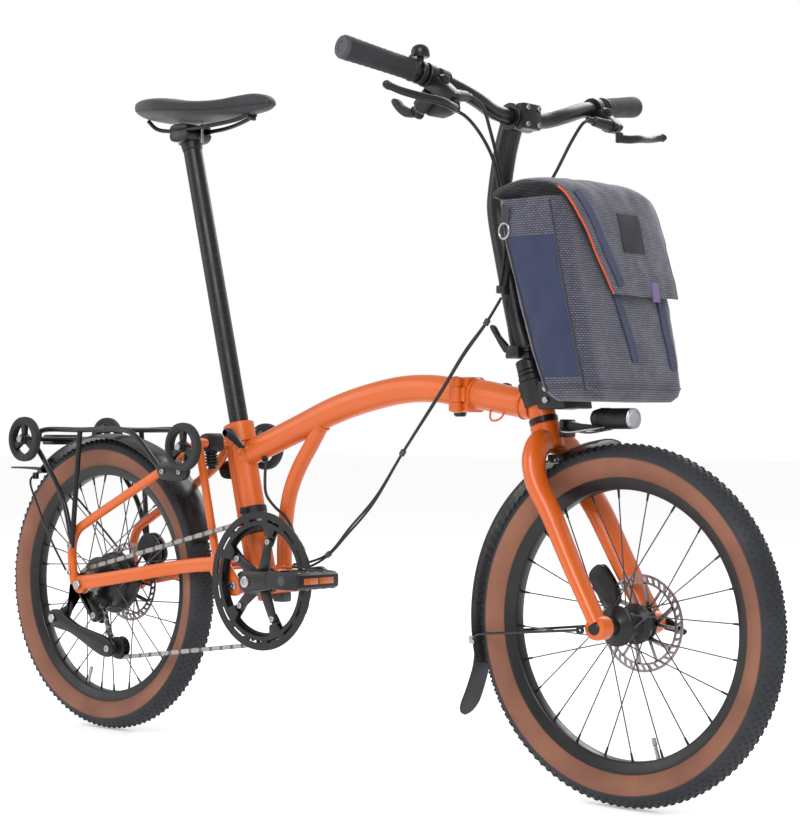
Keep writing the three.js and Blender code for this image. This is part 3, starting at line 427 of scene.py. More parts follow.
def slab(outline, low, high, edge=1.2):
    """An outline of (x, z) made low..high thick across the bicycle."""
    return thickened([at(x, low, z) for x, z in outline], [at(x, high, z) for x, z in outline], edge)


def cross_slab(outline, low, high, edge=1.2):
    """An outline of (y, z) made low..high thick along the bicycle."""
    return thickened([at(low, y, z) for y, z in outline], [at(high, y, z) for y, z in outline], edge)


def block(low, high, edge=1.2):
    (x0, y0, z0), (x1, y1, z1) = low, high
    return slab([(x0, z0), (x1, z0), (x1, z1), (x0, z1)], y0, y1, edge)


def smooth_outline(outline, steps=64):
    """A closed outline of (x, z) rounded into a flowing one."""
    spots = curve_points([at(x, 0, z) for x, z in outline], steps, closed=True)
    return [(p.x, p.z) for p in spots]


def mirrored(shape):
    verts, faces = shape
    return [at(v.x, -v.y, v.z) for v in verts], [tuple(reversed(f)) for f in faces]


def both(*shapes):
    return list(shapes) + [mirrored(shape) for shape in shapes]


def on_side(shapes, right):
    """Shapes drawn for the left side, as they are or mirrored to the right."""
    return [mirrored(shape) if right else shape for shape in shapes]


def sphere(centre, radius, flat=1.0, axis=ACROSS, segments=24):
    steps = 8
    profile = []
    for i in range(steps + 1):
        angle = -math.pi / 2 + math.pi * i / steps
        profile.append((max(radius * math.cos(angle), 0.02), radius * flat * math.sin(angle)))
    return lathe(profile, centre, axis, segments)


def bolt(centre, axis, radius=5.0, height=4.0):
    """A round socket head with a hollow in it."""
    profile = [
        (radius, 0), (radius, height * 0.8), (radius * 0.88, height), (radius * 0.5, height),
        (radius * 0.46, height * 0.4), (0.05, height * 0.4),
    ]
    return lathe(profile, centre, axis, 20)


def hex_nut(centre, axis, radius=8.0, height=6.0):
    profile = [(radius * 0.93, 0), (radius, 0.6), (radius, height - 0.6), (radius * 0.93, height)]
    return lathe(profile, centre, axis, 6)


def piece(name, body, finishes, nodes=(), smooth=38.0):
    """Joins shapes into one object that rides on a body. finishes is {Finish: [shapes]}.

    It takes its material slots from finishes and hides the imported nodes that it stands for.
    """
    verts = []
    faces = []
    slots = []
    for index, shapes in enumerate(finishes.values()):
        for shape_verts, shape_faces in shapes:
            base = len(verts)
            verts.extend((v + at(FRAME_SHIFT, 0, 0)) * MM for v in shape_verts)
            faces.extend(tuple(base + k for k in face) for face in shape_faces)
            slots.extend([index] * len(shape_faces))
    mesh = bpy.data.meshes.new(name)
    mesh.from_pydata(verts, [], faces)
    for finish in finishes:
        mesh.materials.append(finish.material)
    mesh.polygons.foreach_set("material_index", slots)
    solid = bmesh.new()
    solid.from_mesh(mesh)
    bmesh.ops.recalc_face_normals(solid, faces=solid.faces)
    solid.to_mesh(mesh)
    solid.free()
    mesh.shade_smooth()
    mesh.set_sharp_from_angle(angle=math.radians(smooth))
    mesh.update()
    made = bpy.data.objects.new(name, mesh)
    bpy.context.scene.collection.objects.link(made)
    if nodes:
        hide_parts(*nodes)
    if body:
        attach(made, body)
    return made


# ------------------------------------------------------------------ wheels
TREAD_BORDER = 236.0
RIM_FLANGE = 209.4
RIM_INNER = 191.0
TREAD_BASE = 255.0
TREAD_DROP = 17.5
TREAD_HALF = 25.5
WHEEL_SEGMENTS = 140
KNOB_ROWS = (-19.0, -13.0, -6.5, 0.0, 6.5, 13.0, 19.0)
KNOBS_AROUND = 118


def tread_radius(y):
    """The rubber's outer radius at a distance from the middle plane."""
    return TREAD_BASE - TREAD_DROP * (abs(y) / TREAD_HALF) ** 2.6


def tread_knob(axle, degrees, y):
    """A small round stud standing 1.7 mm off the tread."""
    base = tread_radius(y)
    slope = (tread_radius(y + 0.5) - tread_radius(y - 0.5))
    out = on_circle(at(0, 0, 0), 1.0, degrees, 0.0)
    normal = (out - ACROSS * slope).normalized()
    centre = axle + out * (base - 0.6) + ACROSS * y
    return lathe([(2.6, 0), (2.3, 1.7), (1.5, 2.3), (0.05, 2.3)], centre, normal, 8)


def tyre_piece(name, axle, body, node):
    crown = [(tread_radius(y), y) for y in (-24.6, -22, -18, -12, -6, 0, 6, 12, 18, 22, 24.6)]
    tread = lathe(
        crown + [(TREAD_BORDER, 25.4), (232, 22), (244, 0), (232, -22), (TREAD_BORDER, -25.4),
            crown[0]],
        axle, segments=WHEEL_SEGMENTS,
    )
    wall = [(TREAD_BORDER + 1, 25.2), (229, 25.7), (222, 24.2), (215, 20.8), (210, 17.0), (208.4, 15.2),
        (208.4, 11),
            (226, 20), (TREAD_BORDER + 1, 22)]
    sides = lathe(wall + [wall[0]], axle, segments=WHEEL_SEGMENTS)
    knobs = []
    for i in range(KNOBS_AROUND):
        for row, y in enumerate(KNOB_ROWS):
            degrees = (i + 0.5 * (row % 2)) * 360 / KNOBS_AROUND
            knobs.append(tread_knob(axle, degrees, y))
    return piece(name, body, {TREAD: [tread] + knobs, TAN: both(sides)}, [node], smooth=50)


def rim_piece(name, axle, body, node):
    half = [(RIM_FLANGE, 14.2), (RIM_FLANGE - 1, 15.3), (206, 15.0), (200, 12.6), (194, 10.6),
        (192, 9.6), (RIM_INNER, 7.5)]
    far = [(r, -y) for r, y in reversed(half)]
    inside = [(RIM_FLANGE, -12.8), (203, -11), (203, 11), (RIM_FLANGE, 12.8)]
    band = lathe(half + far + inside + [half[0]], axle, segments=WHEEL_SEGMENTS)
    return piece(name, body, {BLACK_METAL: [band]}, [node])


def spoke_set(name, axle, body, node, count, flange_radius, flange_y):
    wires = []
    nipples = []
    for i in range(count):
        degrees = i / count * 360 + 4
        side = 1 if i % 2 else -1
        trailing = 1 if i % 4 < 2 else -1
        start = on_circle(axle, flange_radius - 3, degrees + trailing * 38,
            side * (flange_y + trailing * 1.5))
        end = on_circle(axle, RIM_INNER + 0.5, degrees, side * 1.2)
        along = (start - end).normalized()
        wires.append(rod(start, end, 1.0, None, 0.2, 8))
        wires.append(cross_bar(start, start.y - 2, start.y + 2, 1.7, 0.4, 8))
        nipples.append(rod(end, end + along * 13, 2.0, 1.5, 0.3, 8))
    return piece(name, body, {SPOKE: wires, BLACK_METAL: nipples}, [node])


def disc_shapes(axle, y, outer, bore, arms=6):
    """A brake disc: a slotted braking ring on swept arms round a bolted centre."""
    low, high = y, y + 1.8
    def band(inside, outside):
        return lathe([(inside, low), (outside, low), (outside, high), (inside, high), (inside, low)],
            axle, segments=96)
    shapes = [band(outer - 4, outer), band(outer - 13.5, outer - 10), band(bore, bore + 9)]
    for i in range(36):
        start = on_circle(axle, outer - 11, i * 10, y + 0.9)
        end = on_circle(axle, outer - 3, i * 10 + 5, y + 0.9)
        shapes.append(strap(start, end, 2.0, 0.88))
    for i in range(arms):
        start = on_circle(axle, bore + 6, i * 360 / arms, y + 0.9)
        end = on_circle(axle, outer - 11.5, i * 360 / arms + 26, y + 0.9)
        shapes.append(strap(start, end, 3.4, 0.9))
        shapes.append(strap(start, on_circle(axle, outer - 11.5, i * 360 / arms - 4, y + 0.9), 2.2,
            0.9))
    return shapes


def strap(start, end, half_width, half_height):
    """A flat bar between two points that share a Y."""
    along = (end - start).normalized()
    out = along.cross(ACROSS) * half_width
    corners = [start + out, start - out, end - out, end + out]
    return slab([(p.x, p.z) for p in corners], start.y - half_height, start.y + half_height, 0.25)


def valve(axle, degrees):
    start = on_circle(axle, RIM_INNER + 1, degrees, 0)
    inward = (axle - start).normalized()
    return [rod(start, start + inward * 26, 3.0, 2.6, 0.4, 14),
        rod(start + inward * 20, start + inward * 31, 3.6, 3.2, 0.8, 14)]


tyre_piece("front_tyre_rubber", FRONT_AXLE, "front_wheel", "front_tyre")
rim_piece("front_rim_band", FRONT_AXLE, "front_wheel", "front_rim")
spoke_set("front_spoke_set", FRONT_AXLE, "front_wheel", "front_spokes", 24, 29, 22)
piece("front_valve", "front_wheel", {STEEL: valve(FRONT_AXLE, 287)})
front_hub_profile = [
    (8, -50), (12, -50), (13, -49), (13.5, -33), (16, -31), (26, -26), (28.4, -25), (29, -24.2),
    (29, -20.2), (28, -19.4),
    (21, -17), (18, -13), (17.5, 0), (18, 13), (21, 17), (28, 19.4), (29, 20.2), (29, 24.2), (28.4, 25),
    (20, 28),
    (17.5, 31), (17.3, 44), (13, 46), (12, 50), (8, 50), (8, -50),
]
piece(
    "front_hub_shell", "front_wheel",
    {BLACK_METAL: [lathe(front_hub_profile, FRONT_AXLE, segments=64)],
     STEEL: [bolt(on_circle(FRONT_AXLE, 22, k * 60 + 12, 40.6), ACROSS, 3.4, 2.4) for k in range(6)]},
    ["front_hub"],
)
piece("front_brake_disc", "front_wheel", {DISC_STEEL: disc_shapes(FRONT_AXLE, 38, 70, 17.6)},
    ["front_rotor"])

tyre_piece("rear_tyre_rubber", REAR_AXLE, "rear_wheel", "rear_tyre")
rim_piece("rear_rim_band", REAR_AXLE, "rear_wheel", "rear_rim")
spoke_set("rear_spoke_set", REAR_AXLE, "rear_wheel", "rear_spokes", 32, 47, 24)
piece("rear_valve", "rear_wheel", {STEEL: valve(REAR_AXLE, 252)})
rear_hub_profile = [
    (8, -38), (15, -38), (16, -37), (18, -30), (30, -28.5), (45.5, -27), (47, -26), (47, -22.4),
    (45.5, -21), (43, -18),
    (43.5, -6), (44, 1), (50, 4), (53.4, 6), (54, 7.5), (54, 16.5), (53, 18), (47, 20.5), (47, 26),
    (45.5, 27.4),
    (31, 31), (22, 35), (20, 40), (20, 52), (13, 56), (12, 62), (8, 62), (8, -38),
]
piece(
    "rear_hub_shell", "rear_wheel",
    {BLACK_METAL: [lathe(rear_hub_profile, REAR_AXLE, segments=72)],
     DISC_STEEL: disc_shapes(REAR_AXLE, 44, 70, 20),
     STEEL: [bolt(on_circle(REAR_AXLE, 24, k * 60, 47), ACROSS, 3.4, 2.4) for k in range(6)]},
    ["rear_hub"],
)


def gear(centre, teeth, root, tip, low, high, inner):
    """A toothed plate with a round bore, as an outer and an inner loop of the same count."""
    outer_ring = []
    steps = teeth * 6
    shares = (0.0, 0.15, 0.85, 1.0, 0.85, 0.15)
    for k in range(steps):
        height = root + (tip - root) * shares[k % 6]
        outer_ring.append((height, 360 * k / steps))
    def loop(y, inside):
        return [on_circle(centre, inner if inside else r, d, y) for r, d in outer_ring]
    rings = [loop(low, False), loop(high, False), loop(high, True), loop(low, True)]
    return skin(rings, closed=True)


piece(
    "sprocket_cog", "sprocket",
    {CHAIN_STEEL: [gear(REAR_AXLE, 13, 22.2, 25.6, -48.4, -45.6, 15)],
     STEEL: [lathe([(8, -62), (15, -62), (16, -61), (16, -38.6), (8, -38.6), (8, -62)], REAR_AXLE,
         segments=40)]},
    ["sprocket"],
)


# ------------------------------------------------------------------ main frame
def weld(centre, normal, radius, height=None):
    """A bead of weld where one round tube meets another."""
    normal = Vector(normal).normalized()
    side = normal.orthogonal().normalized()
    other = normal.cross(side)
    spots = []
    for k in range(48):
        angle = 2 * math.pi * k / 48
        across = side * radius * math.cos(angle)
        spots.append(centre + across + other * (height or radius) * math.sin(angle))
    return tube(spots, lambda share: (2.6, 2.6), 8, 96, closed=True)


MAIN_TUBE_PATH = [
    at(-214, 0, 488), at(-179, 0, 500), at(-91, 0, 532), at(-2, 0, 564), at(85, 0, 585),
    at(147, 0, 593.5),
    at(209, 0, 593), at(254, 0, 586),
]
BRACE_PATH = [
    at(-30, 0, 552), at(-62, 0, 507), at(-92, 0, 465), at(-111, 0, 425), at(-120, 0, 381),
    at(-123, 0, 335),
    at(-122, 0, 290),
]


def main_tube_size(share):
    return (20 - 1.5 * share, 20.5 + 1.5 * math.sin(math.pi * share))


def open_tube(start, end, outer, inner, segments=56):
    length = (end - start).length
    profile = [(outer - 0.8, 0), (outer, 0.8), (outer, length - 0.8), (outer - 0.8, length),
        (inner, length), (inner, 0),
               (outer - 0.8, 0)]
    return lathe(profile, start, end - start, segments)


HINGE_FACE = [(-22, 566), (-19, 560), (-14, 557.6), (14, 557.6), (19, 560), (22, 566), (22, 602),
    (19, 608),
              (14, 610.4), (-14, 610.4), (-19, 608), (-22, 602)]


def hinge_barrel(low, high, radius=8.5):
    return rod(at(HINGE_PIN.x, HINGE_PIN.y, low), at(HINGE_PIN.x, HINGE_PIN.y, high), radius, None, 0.8,
        32)


frame_shapes = [
    tube(MAIN_TUBE_PATH, main_tube_size, 36, 72),
    open_tube(seat_point(252), seat_point(530), 19, 17),
    tube(BRACE_PATH, lambda share: (12.5, 12.5), 28, 48),
    lathe([(13, -34), (21, -34), (22, -33), (22, 33), (21, 34), (13, 34), (13, -34)], BOTTOM_BRACKET,
        segments=56),
    lathe([(6.4, -32.5), (13, -32.5), (14, -31.5), (14, 31.5), (13, 32.5), (6.4, 32.5), (6.4, -32.5)],
        REAR_PIVOT, segments=40),
    *both(slab([(-186, 296), (-150, 306), (-135, 304), (-135, 268), (-152, 262), (-176, 256)], 17, 20.5,
        1.5)),
    *both(slab([(-206, 285), (-170, 300), (-160, 262), (-196, 260)], 17.4, 21, 1.5)),
    cross_slab(HINGE_FACE, 252, 266.1, 1.4),
    hinge_barrel(557.6, 572.1),
    hinge_barrel(595.9, 610.4),
    block((250, -27, 558.6), (266.1, -14, 572.1), 2),
    block((250, -27, 595.9), (266.1, -14, 609.4), 2),
    weld(at(250, 0, 587), (1, 0, -0.1), 20.5, 22.0),
    weld(BOTTOM_BRACKET + at(0, 0, 21.5), (0, 0, 1), 13.0),
    weld(at(-41, 0, 538), (-0.55, 0, -0.83), 13.2),
    weld(seat_point(492) + at(18.6, 0, 3), (0.93, 0, 0.36), 20.5),
]
collar_shapes = [
    open_tube(seat_point(508), seat_point(540), 24, 17.4),
    block((-262, -9, 512), (-240, 9, 536), 3),
    rod(at(-226, -24, 524), at(-226, 26, 524), 5.5, None, 1.2, 24),
    rod(at(-226, 22, 524), at(-226, 30, 524), 8.5, None, 1.6, 24),
]
pin_shapes = [
    rod(at(HINGE_PIN.x, HINGE_PIN.y, 556.5), at(HINGE_PIN.x, HINGE_PIN.y, 611.5), 5, None, 1.0, 24),
]
piece("main_frame_tubes", "frame", {ORANGE: frame_shapes + collar_shapes[:2],
    BLACK_PAINT: collar_shapes[2:], STEEL: pin_shapes}, ["main_frame"])
grommet = [lathe([(3, 0), (6, 0), (6, 2.4), (4.5, 4), (3, 4), (3, 0)], at(-163, -6, 483),
    (0.2, -0.6, -0.75), 24)]
piece("cable_grommet", "frame", {BLACK_PLASTIC: grommet})
piece(
    "hinge_safety_knob", "frame",
    {BLACK_PLASTIC: [rod(at(251, 0, 566), at(251, 0, 551), 11, 9.5, 2.5, 32),
        rod(at(251, 0, 568), at(251, 0, 564), 13, None, 1, 32)]},
)


def band_clip(z):
    """A cable clamp band round the seat tube with an ear on the right."""
    start = seat_point(z - 6)
    end = seat_point(z + 6)
    ear = seat_point(z)
    return [
        open_tube(start, end, 21.2, 19.05),
        block((ear.x - 6, -29, z - 6), (ear.x + 8, -19, z + 6), 2.5),
        rod(at(ear.x + 1, -32, z), at(ear.x + 1, -27, z), 3.6, None, 0.8, 18),
    ]


piece("seat_tube_clamps", "frame", {BLACK_PLASTIC: band_clip(396) + band_clip(364)})

lever_outline = smooth_outline([(-233, 524), (-226, 532), (-212, 529), (-198, 517), (-184, 501),
    (-190, 499), (-206, 508), (-222, 516)])
piece(
    "seat_quick_lever", "seat_clamp_lever",
    {BLACK_METAL: [slab(lever_outline, -38, -31.5, 1.6),
        rod(at(-226, -38, 524), at(-226, -24.6, 524), 6.4, None, 1, 28)]},
    ["seat_lever"],
)
cup = [(9.7, 0), (18, 0), (20, 1.2), (20, 4.7), (9.7, 4.7), (9.7, 0)]
piece(
    "bottom_bracket_cups", "frame",
    {BLACK_METAL: both(lathe(cup, BOTTOM_BRACKET + at(0, 34.3, 0), segments=48))
     + [lathe([(9.7, -38), (12.6, -38), (12.6, 38), (9.7, 38), (9.7, -38)], BOTTOM_BRACKET,
         segments=32)],
     GREY_PLASTIC: [block((-139, -11, 249), (-116, 11, 265), 3)]},
    ["bottom_bracket"],
)


# ------------------------------------------------------------------ front frame
HEAD_LOW = 541
HEAD_HIGH = 611
front_frame_shapes = [
    cross_slab(HINGE_FACE, 266.9, 283, 1.4),
    hinge_barrel(572.6, 595.4),
    block((266.9, -27, 573), (282, -14, 595), 2),
    tube([at(272, 0, 585.5), at(305, 0, 582), at(345, 0, 575), at(394, 0, 567)],
        lambda s: (21.5, 23 - 1.5 * s), 36, 30),
    open_tube(steer_point(HEAD_LOW), steer_point(HEAD_HIGH), 20, 15.4),
    weld(at(284, 0, 584), (1, 0, -0.12), 22.0, 22.5),
    weld(at(378, 0, 570), (1, 0, -0.2), 21.5, 22.0),
]
head_rings = [
    open_tube(steer_point(HEAD_LOW - 0.2), steer_point(HEAD_LOW + 8), 21.6, 15.5),
    open_tube(steer_point(HEAD_HIGH - 8), steer_point(HEAD_HIGH + 0.3), 21.6, 15.5),
]
piece("front_frame_tubes", "front_frame", {ORANGE: front_frame_shapes, BLACK_METAL: head_rings},
    ["front_frame"])
loop_path = [at(318, -9, 560), at(320, -13, 552), at(324, -15, 546), at(332, -15, 545),
    at(340, -12, 549), at(343, -8, 557)]
piece("cable_loop_guide", "front_frame", {ORANGE: [tube(loop_path, 1.6, 10, 30)]})

clamp_lever = smooth_outline([(258, 584), (262, 592), (276, 594), (292, 599), (313, 602), (317, 598),
    (296, 588), (276, 576), (262, 576)])
piece(
    "hinge_clamp_lever", "hinge_clamp",
    {BLACK_METAL: [slab(clamp_lever, 36, 43.5, 1.8),
        block((254.4, 22.8, 571.4), (278.6, 31, 597.6), 2.5)],
     STEEL: [rod(at(266.5, 30, 584), at(266.5, 45, 584), 5.5, None, 1, 28)]},
    ["hinge_clamp"],
)
carrier = slab([(413, 603), (440, 603), (458, 597), (467, 589), (467, 563), (452, 561), (413, 562)],
    -20, 20, 3)
carrier_plate = slab([(456, 599), (468, 596), (475, 563), (464, 562)], -33, 33, 2)
carrier_bolts = [rod(at(430, -24, z), at(430, -19, z), 5, None, 0.8, 22) for z in (575, 592)]
piece(
    "carrier_bracket", "front_frame",
    {BLACK_PLASTIC: [carrier, carrier_plate, open_tube(steer_point(566), steer_point(602), 24.5, 20.4)],
     STEEL: carrier_bolts, GREY_PLASTIC: [block((418, -12, 602), (446, 12, 609), 2.5)]},
    ["carrier_block"],
)

# ------------------------------------------------------------------ fork and front guards
blade_path = [
    at(421, 8, 516), at(425, 32, 508), at(430, 48, 487), at(441, 54, 455), at(469, 57.5, 413),
    at(513, 61, 335),
    at(557, 64, 262),
]


def blade_size(share):
    deep = 19 + 20 * share if share < 0.2 else 23.9 - 4.5 * share
    return (16.6 - 4.4 * share, deep)


fork_end = [
    lathe([(7.6, 51.6), (14, 51.6), (17, 53), (17.4, 60), (17.4, 70), (16, 75.5), (13, 76.4),
        (7.6, 76.4), (7.6, 51.6)], FRONT_AXLE, segments=48),
]
fork_shapes = [
    rod(steer_point(503), steer_point(HEAD_LOW - 0.6), 22.2, None, 2.5, 44),
    rod(steer_point(510), steer_point(HEAD_HIGH), 14.6, None, 0.5, 32),
    *both(tube(blade_path, blade_size, 30, 56), *fork_end),
]
piece(
    "fork_blades", "fork",
    {ORANGE: fork_shapes,
     BLACK_METAL: [cross_bar(FRONT_AXLE, -66, 66, 7.4), cross_bar(FRONT_AXLE, -78.5, -70, 9.5, 1.5)],
     BLACK_PLASTIC: [bolt(at(469, -71.6, 413), -ACROSS, 5, 3), bolt(at(500, -73, 357), -ACROSS, 5, 3)]},
    ["fork"],
)
axle_lever_outline = smooth_outline([(550, 258), (556, 267), (570, 265), (588, 256), (605, 245),
    (601, 240), (584, 243), (564, 247)])
piece(
    "front_axle_handle", "front_axle_lever",
    {BLACK_METAL: [slab(axle_lever_outline, 80, 86, 1.6),
        rod(at(559, 76.9, 257), at(559, 86, 257), 9, None, 1.2, 32)]},
    ["axle_lever"],
)


GUARD_HALF = 30.6
GUARD_CROWN = 264.6
GUARD_DROP = 5.2


def guard_shape(axle, start, end, steps, sides=9):
    """An arched strip round a wheel: rolled edges and a rounded crown."""
    outer = []
    for k in range(sides):
        y = -GUARD_HALF + 2 * GUARD_HALF * k / (sides - 1)
        outer.append((GUARD_CROWN - GUARD_DROP * (abs(y) / GUARD_HALF) ** 2.4, y))
    inner = [(r - 1.9, y * 0.965) for r, y in reversed(outer)]
    rings = []
    for i in range(steps + 1):
        degrees = start + (end - start) * i / steps
        rings.append([on_circle(axle, r, degrees, y) for r, y in outer + inner])
    return skin(rings)


def paddle(path, half, thickness, steps=44):
    """A flap that hangs from a guard, widens a little and ends in a half-round."""
    spots = curve_points(path, steps)
    rings = []
    for i, spot in enumerate(spots):
        share = i / steps
        along = (spots[min(i + 1, steps)] - spots[max(i - 1, 0)]).normalized()
        up = along.cross(ACROSS).normalized() * thickness
        rounding = max(0.0, (share - 0.74) / 0.26)
        wide = ACROSS * max(half * (0.84 + 0.22 * share) * math.sqrt(max(0.0, 1 - rounding**2)), 0.8)
        rings.append([spot + wide, spot + wide * 0.97 + up, spot - wide * 0.97 + up, spot - wide,
                      spot - wide * 0.97 - up, spot + wide * 0.97 - up])
    return skin(rings)


flap = paddle([at(297.5, 0, 207), at(294.5, 0, 179), at(285.5, 0, 151), at(275, 0, 126),
    at(263, 0, 103)], 21, 1.7)
stay_wire = [
    tube([at(304, -30.5, 221), at(312, -33, 228), at(330, -37, 231), at(420, -56, 241),
        at(520, -78, 252), at(536, -82, 254)], 2.0, 12, 50),
    lathe([(2.2, -84.5), (6.0, -84.5), (6.0, -81), (2.2, -81), (2.2, -84.5)], at(540, 0, 254),
        segments=28),
]
stay_clip = block((296, -31.6, 214), (306, -27.5, 226), 1.2)
piece(
    "front_guard", "fork",
    {BLACK_PAINT: [guard_shape(FRONT_AXLE, 97, 196, 72)],
     BLACK_PLASTIC: [flap, block((424, -9, 484), (437, 9, 496), 2)],
     BLACK_METAL: both(*stay_wire),
     STEEL: both(stay_clip) + [bolt(at(437, -6, 489), (1, 0, 0), 4.5, 3)]},
    ["front_mudguard"],
)

LAMP = at(545, 0, 548)
lamp_axis = at(1, 0, 0)
lamp_profile = [(9, -44), (12.5, -41), (14.4, -34), (15, -22), (15, 20), (15, 22.8), (13, 22.8),
    (11, 16), (6, 8), (1, 6)]
lamp_fins = [
    rod(LAMP + at(k, 0, 0), LAMP + at(k + 1.6, 0, 0), 15.6, None, 0.4, 40) for k in (-30, -26, -22, -18)
]
lamp_shapes = [
    lathe(lamp_profile, LAMP, lamp_axis, 48),
    slab([(452, 532), (470, 530.5), (520, 530.5), (524, 534), (520, 538), (474, 541), (452, 546)], -9,
        9, 2),
    slab([(450, 521), (458, 521), (458, 547), (450, 547)], -15, 15, 2),
]
wire_loop = tube(
    [at(452, 10, 537), at(458, 20, 530), at(474, 24, 528), at(500, 24, 531), at(520, 20, 534),
        at(526, 10, 536)], 1.7, 12, 50,
)
piece(
    "front_lamp_body", "fork",
    {BLACK_PLASTIC: lamp_shapes + lamp_fins,
        STEEL: both(wire_loop) + [bolt(at(458, 6, 541), lamp_axis, 4, 3)],
     CRYSTAL: [lathe([(12.6, 21), (11, 15), (6, 7.5), (2.5, 6.5)], LAMP, lamp_axis, 16)]},
    ["front_lamp"],
)
lens_profile = [(1, 23.3), (15, 23.3), (15, 26), (14, 28.6), (10, 29.7), (1, 30)]
piece("front_lamp_lens", "fork", {LENS: [lathe(lens_profile, LAMP, lamp_axis, 48)]}, ["front_lens"])


def caliper(axle, outline, low, high, slot_low, slot_high):
    """A two-piston caliper astride its disc: two halves, a bridge over the disc and a piston cap."""
    body = smooth_outline(outline, 40)
    shapes = [slab(body, low, slot_low, 2), slab(body, slot_high, high, 2)]
    bridge = [(x, z) for x, z in outline if (at(x, 0, z) - at(axle.x, 0, axle.z)).length > 76]
    middle_x = sum(x for x, _ in bridge) / len(bridge)
    middle_z = sum(z for _, z in bridge) / len(bridge)
    out = (at(middle_x, 0, middle_z) - at(axle.x, 0, axle.z)).normalized()
    top = at(axle.x, 0, axle.z) + out * 77
    across = at(-out.z, 0, out.x)
    corners = [top + across * 14, top + across * 14 + out * 9, top - across * 14 + out * 9,
        top - across * 14]
    shapes.append(slab([(p.x, p.z) for p in corners], slot_low - 0.5, slot_high + 0.5, 0.8))
    centre = at(sum(x for x, _ in outline) / len(outline), high,
        sum(z for _, z in outline) / len(outline))
    shapes.append(lathe([(11, -0.5), (11, 1.4), (9.5, 2.4), (4, 2.4), (3.6, 1), (0.05, 1)], centre,
        ACROSS, 32))
    return shapes


front_caliper_outline = [(470, 322), (488, 338), (506, 322), (520, 296), (516, 280), (500, 274),
    (486, 292)]
piece(
    "front_brake_caliper", "fork",
    {BLACK_METAL: caliper(FRONT_AXLE, front_caliper_outline, 30, 44.5, 36.8, 41.4),
     STEEL: [bolt(at(488, 44.5, 326), ACROSS, 3.6, 3), bolt(at(511, 44.5, 284), ACROSS, 3.6, 3)]},
    ["front_caliper"],
)


def hinge_knuckle(start, end, radius=7, edge=0.8, segments=28):
    """A round length of the handlepost's hinge, between two X values on its axis."""
    low = at(start, POST_HINGE_Y, POST_HINGE_Z)
    return rod(low, at(end, POST_HINGE_Y, POST_HINGE_Z), radius, None, edge, segments)


piece(
    "stem_base_body", "fork",
    {BLACK_METAL: [
        open_tube(steer_point(612.3), steer_point(618), 20.9, 10),
        rod(steer_point(618.4), steer_point(634), 20.6, None, 1.2, 44),
        cross_slab([(-24, 636), (21, 636), (21, 645), (-24, 645)], 356.5, 401.5, 2.4),
        block((357, 13, 636.4), (369.5, 28, 645), 1),
        block((388.5, 13, 636.4), (401, 28, 645), 1),
        hinge_knuckle(357, 369.6),
        hinge_knuckle(388.4, 401),
     ],
     STEEL: [hinge_knuckle(355.8, 402.2, 3, 0.6, 20)]},
    ["stem_base"],
)

# ------------------------------------------------------------------ handlepost and bar
post_path = [
    at(375, 0, 649), at(366, 0, 677), at(358, 0, 707), at(340, 0, 782), at(327, 0, 838),
    at(323.5, 0, 864),
    at(326, 0, 890), at(336, 0, 944), at(347, 0, 980),
]


def post_size(share):
    return (17.4 + 2.4 * max(0, 1 - share * 9), 17.4 + 4 * max(0, 1 - share * 9))


bar_clamp = [(13, -24), (19, -24), (20, -23), (20, 23), (19, 24), (13, 24), (13, -24)]
piece(
    "handlepost_tube", "handlepost",
    {BLACK_PAINT: [
        tube(post_path, post_size, 36, 72),
        lathe(bar_clamp, BAR_CENTRE, segments=48),
        cross_slab([(-24, 645.5), (17, 645.5), (17, 655), (-24, 655)], 357.5, 400.5, 2.4),
        block((370.2, 13, 646), (387.8, 28, 652), 1),
        hinge_knuckle(370.2, 387.8),
        block((372, -21, 973), (388, 21, 1011), 3),
     ],
     STEEL: [bolt(at(388, y, z), (1, 0, 0), 3.8, 3) for y in (-13, 13) for z in (980, 1004)]},
    ["handlepost"],
)
post_lever_outline = smooth_outline([(364, 644), (356, 652), (346, 666), (335, 684), (340, 686),
    (352, 670), (366, 656), (372, 648)])
piece(
    "handlepost_latch", "post_lever",
    {BLACK_METAL: [block((366.4, -34, 637.4), (389.6, -24.8, 654.6), 2.4),
        slab(post_lever_outline, -33.6, -26, 1.8)]},
    ["post_lever"],
)
half_bar = [(362, 30, 992), (363, 62, 995), (366, 105, 1007), (359, 160, 1023), (350, 219, 1034)]
right_half_bar = [at(x, -y, z) for x, y, z in reversed(half_bar)]
bar_path = right_half_bar + [Vector(BAR_CENTRE)] + [at(*p) for p in half_bar]

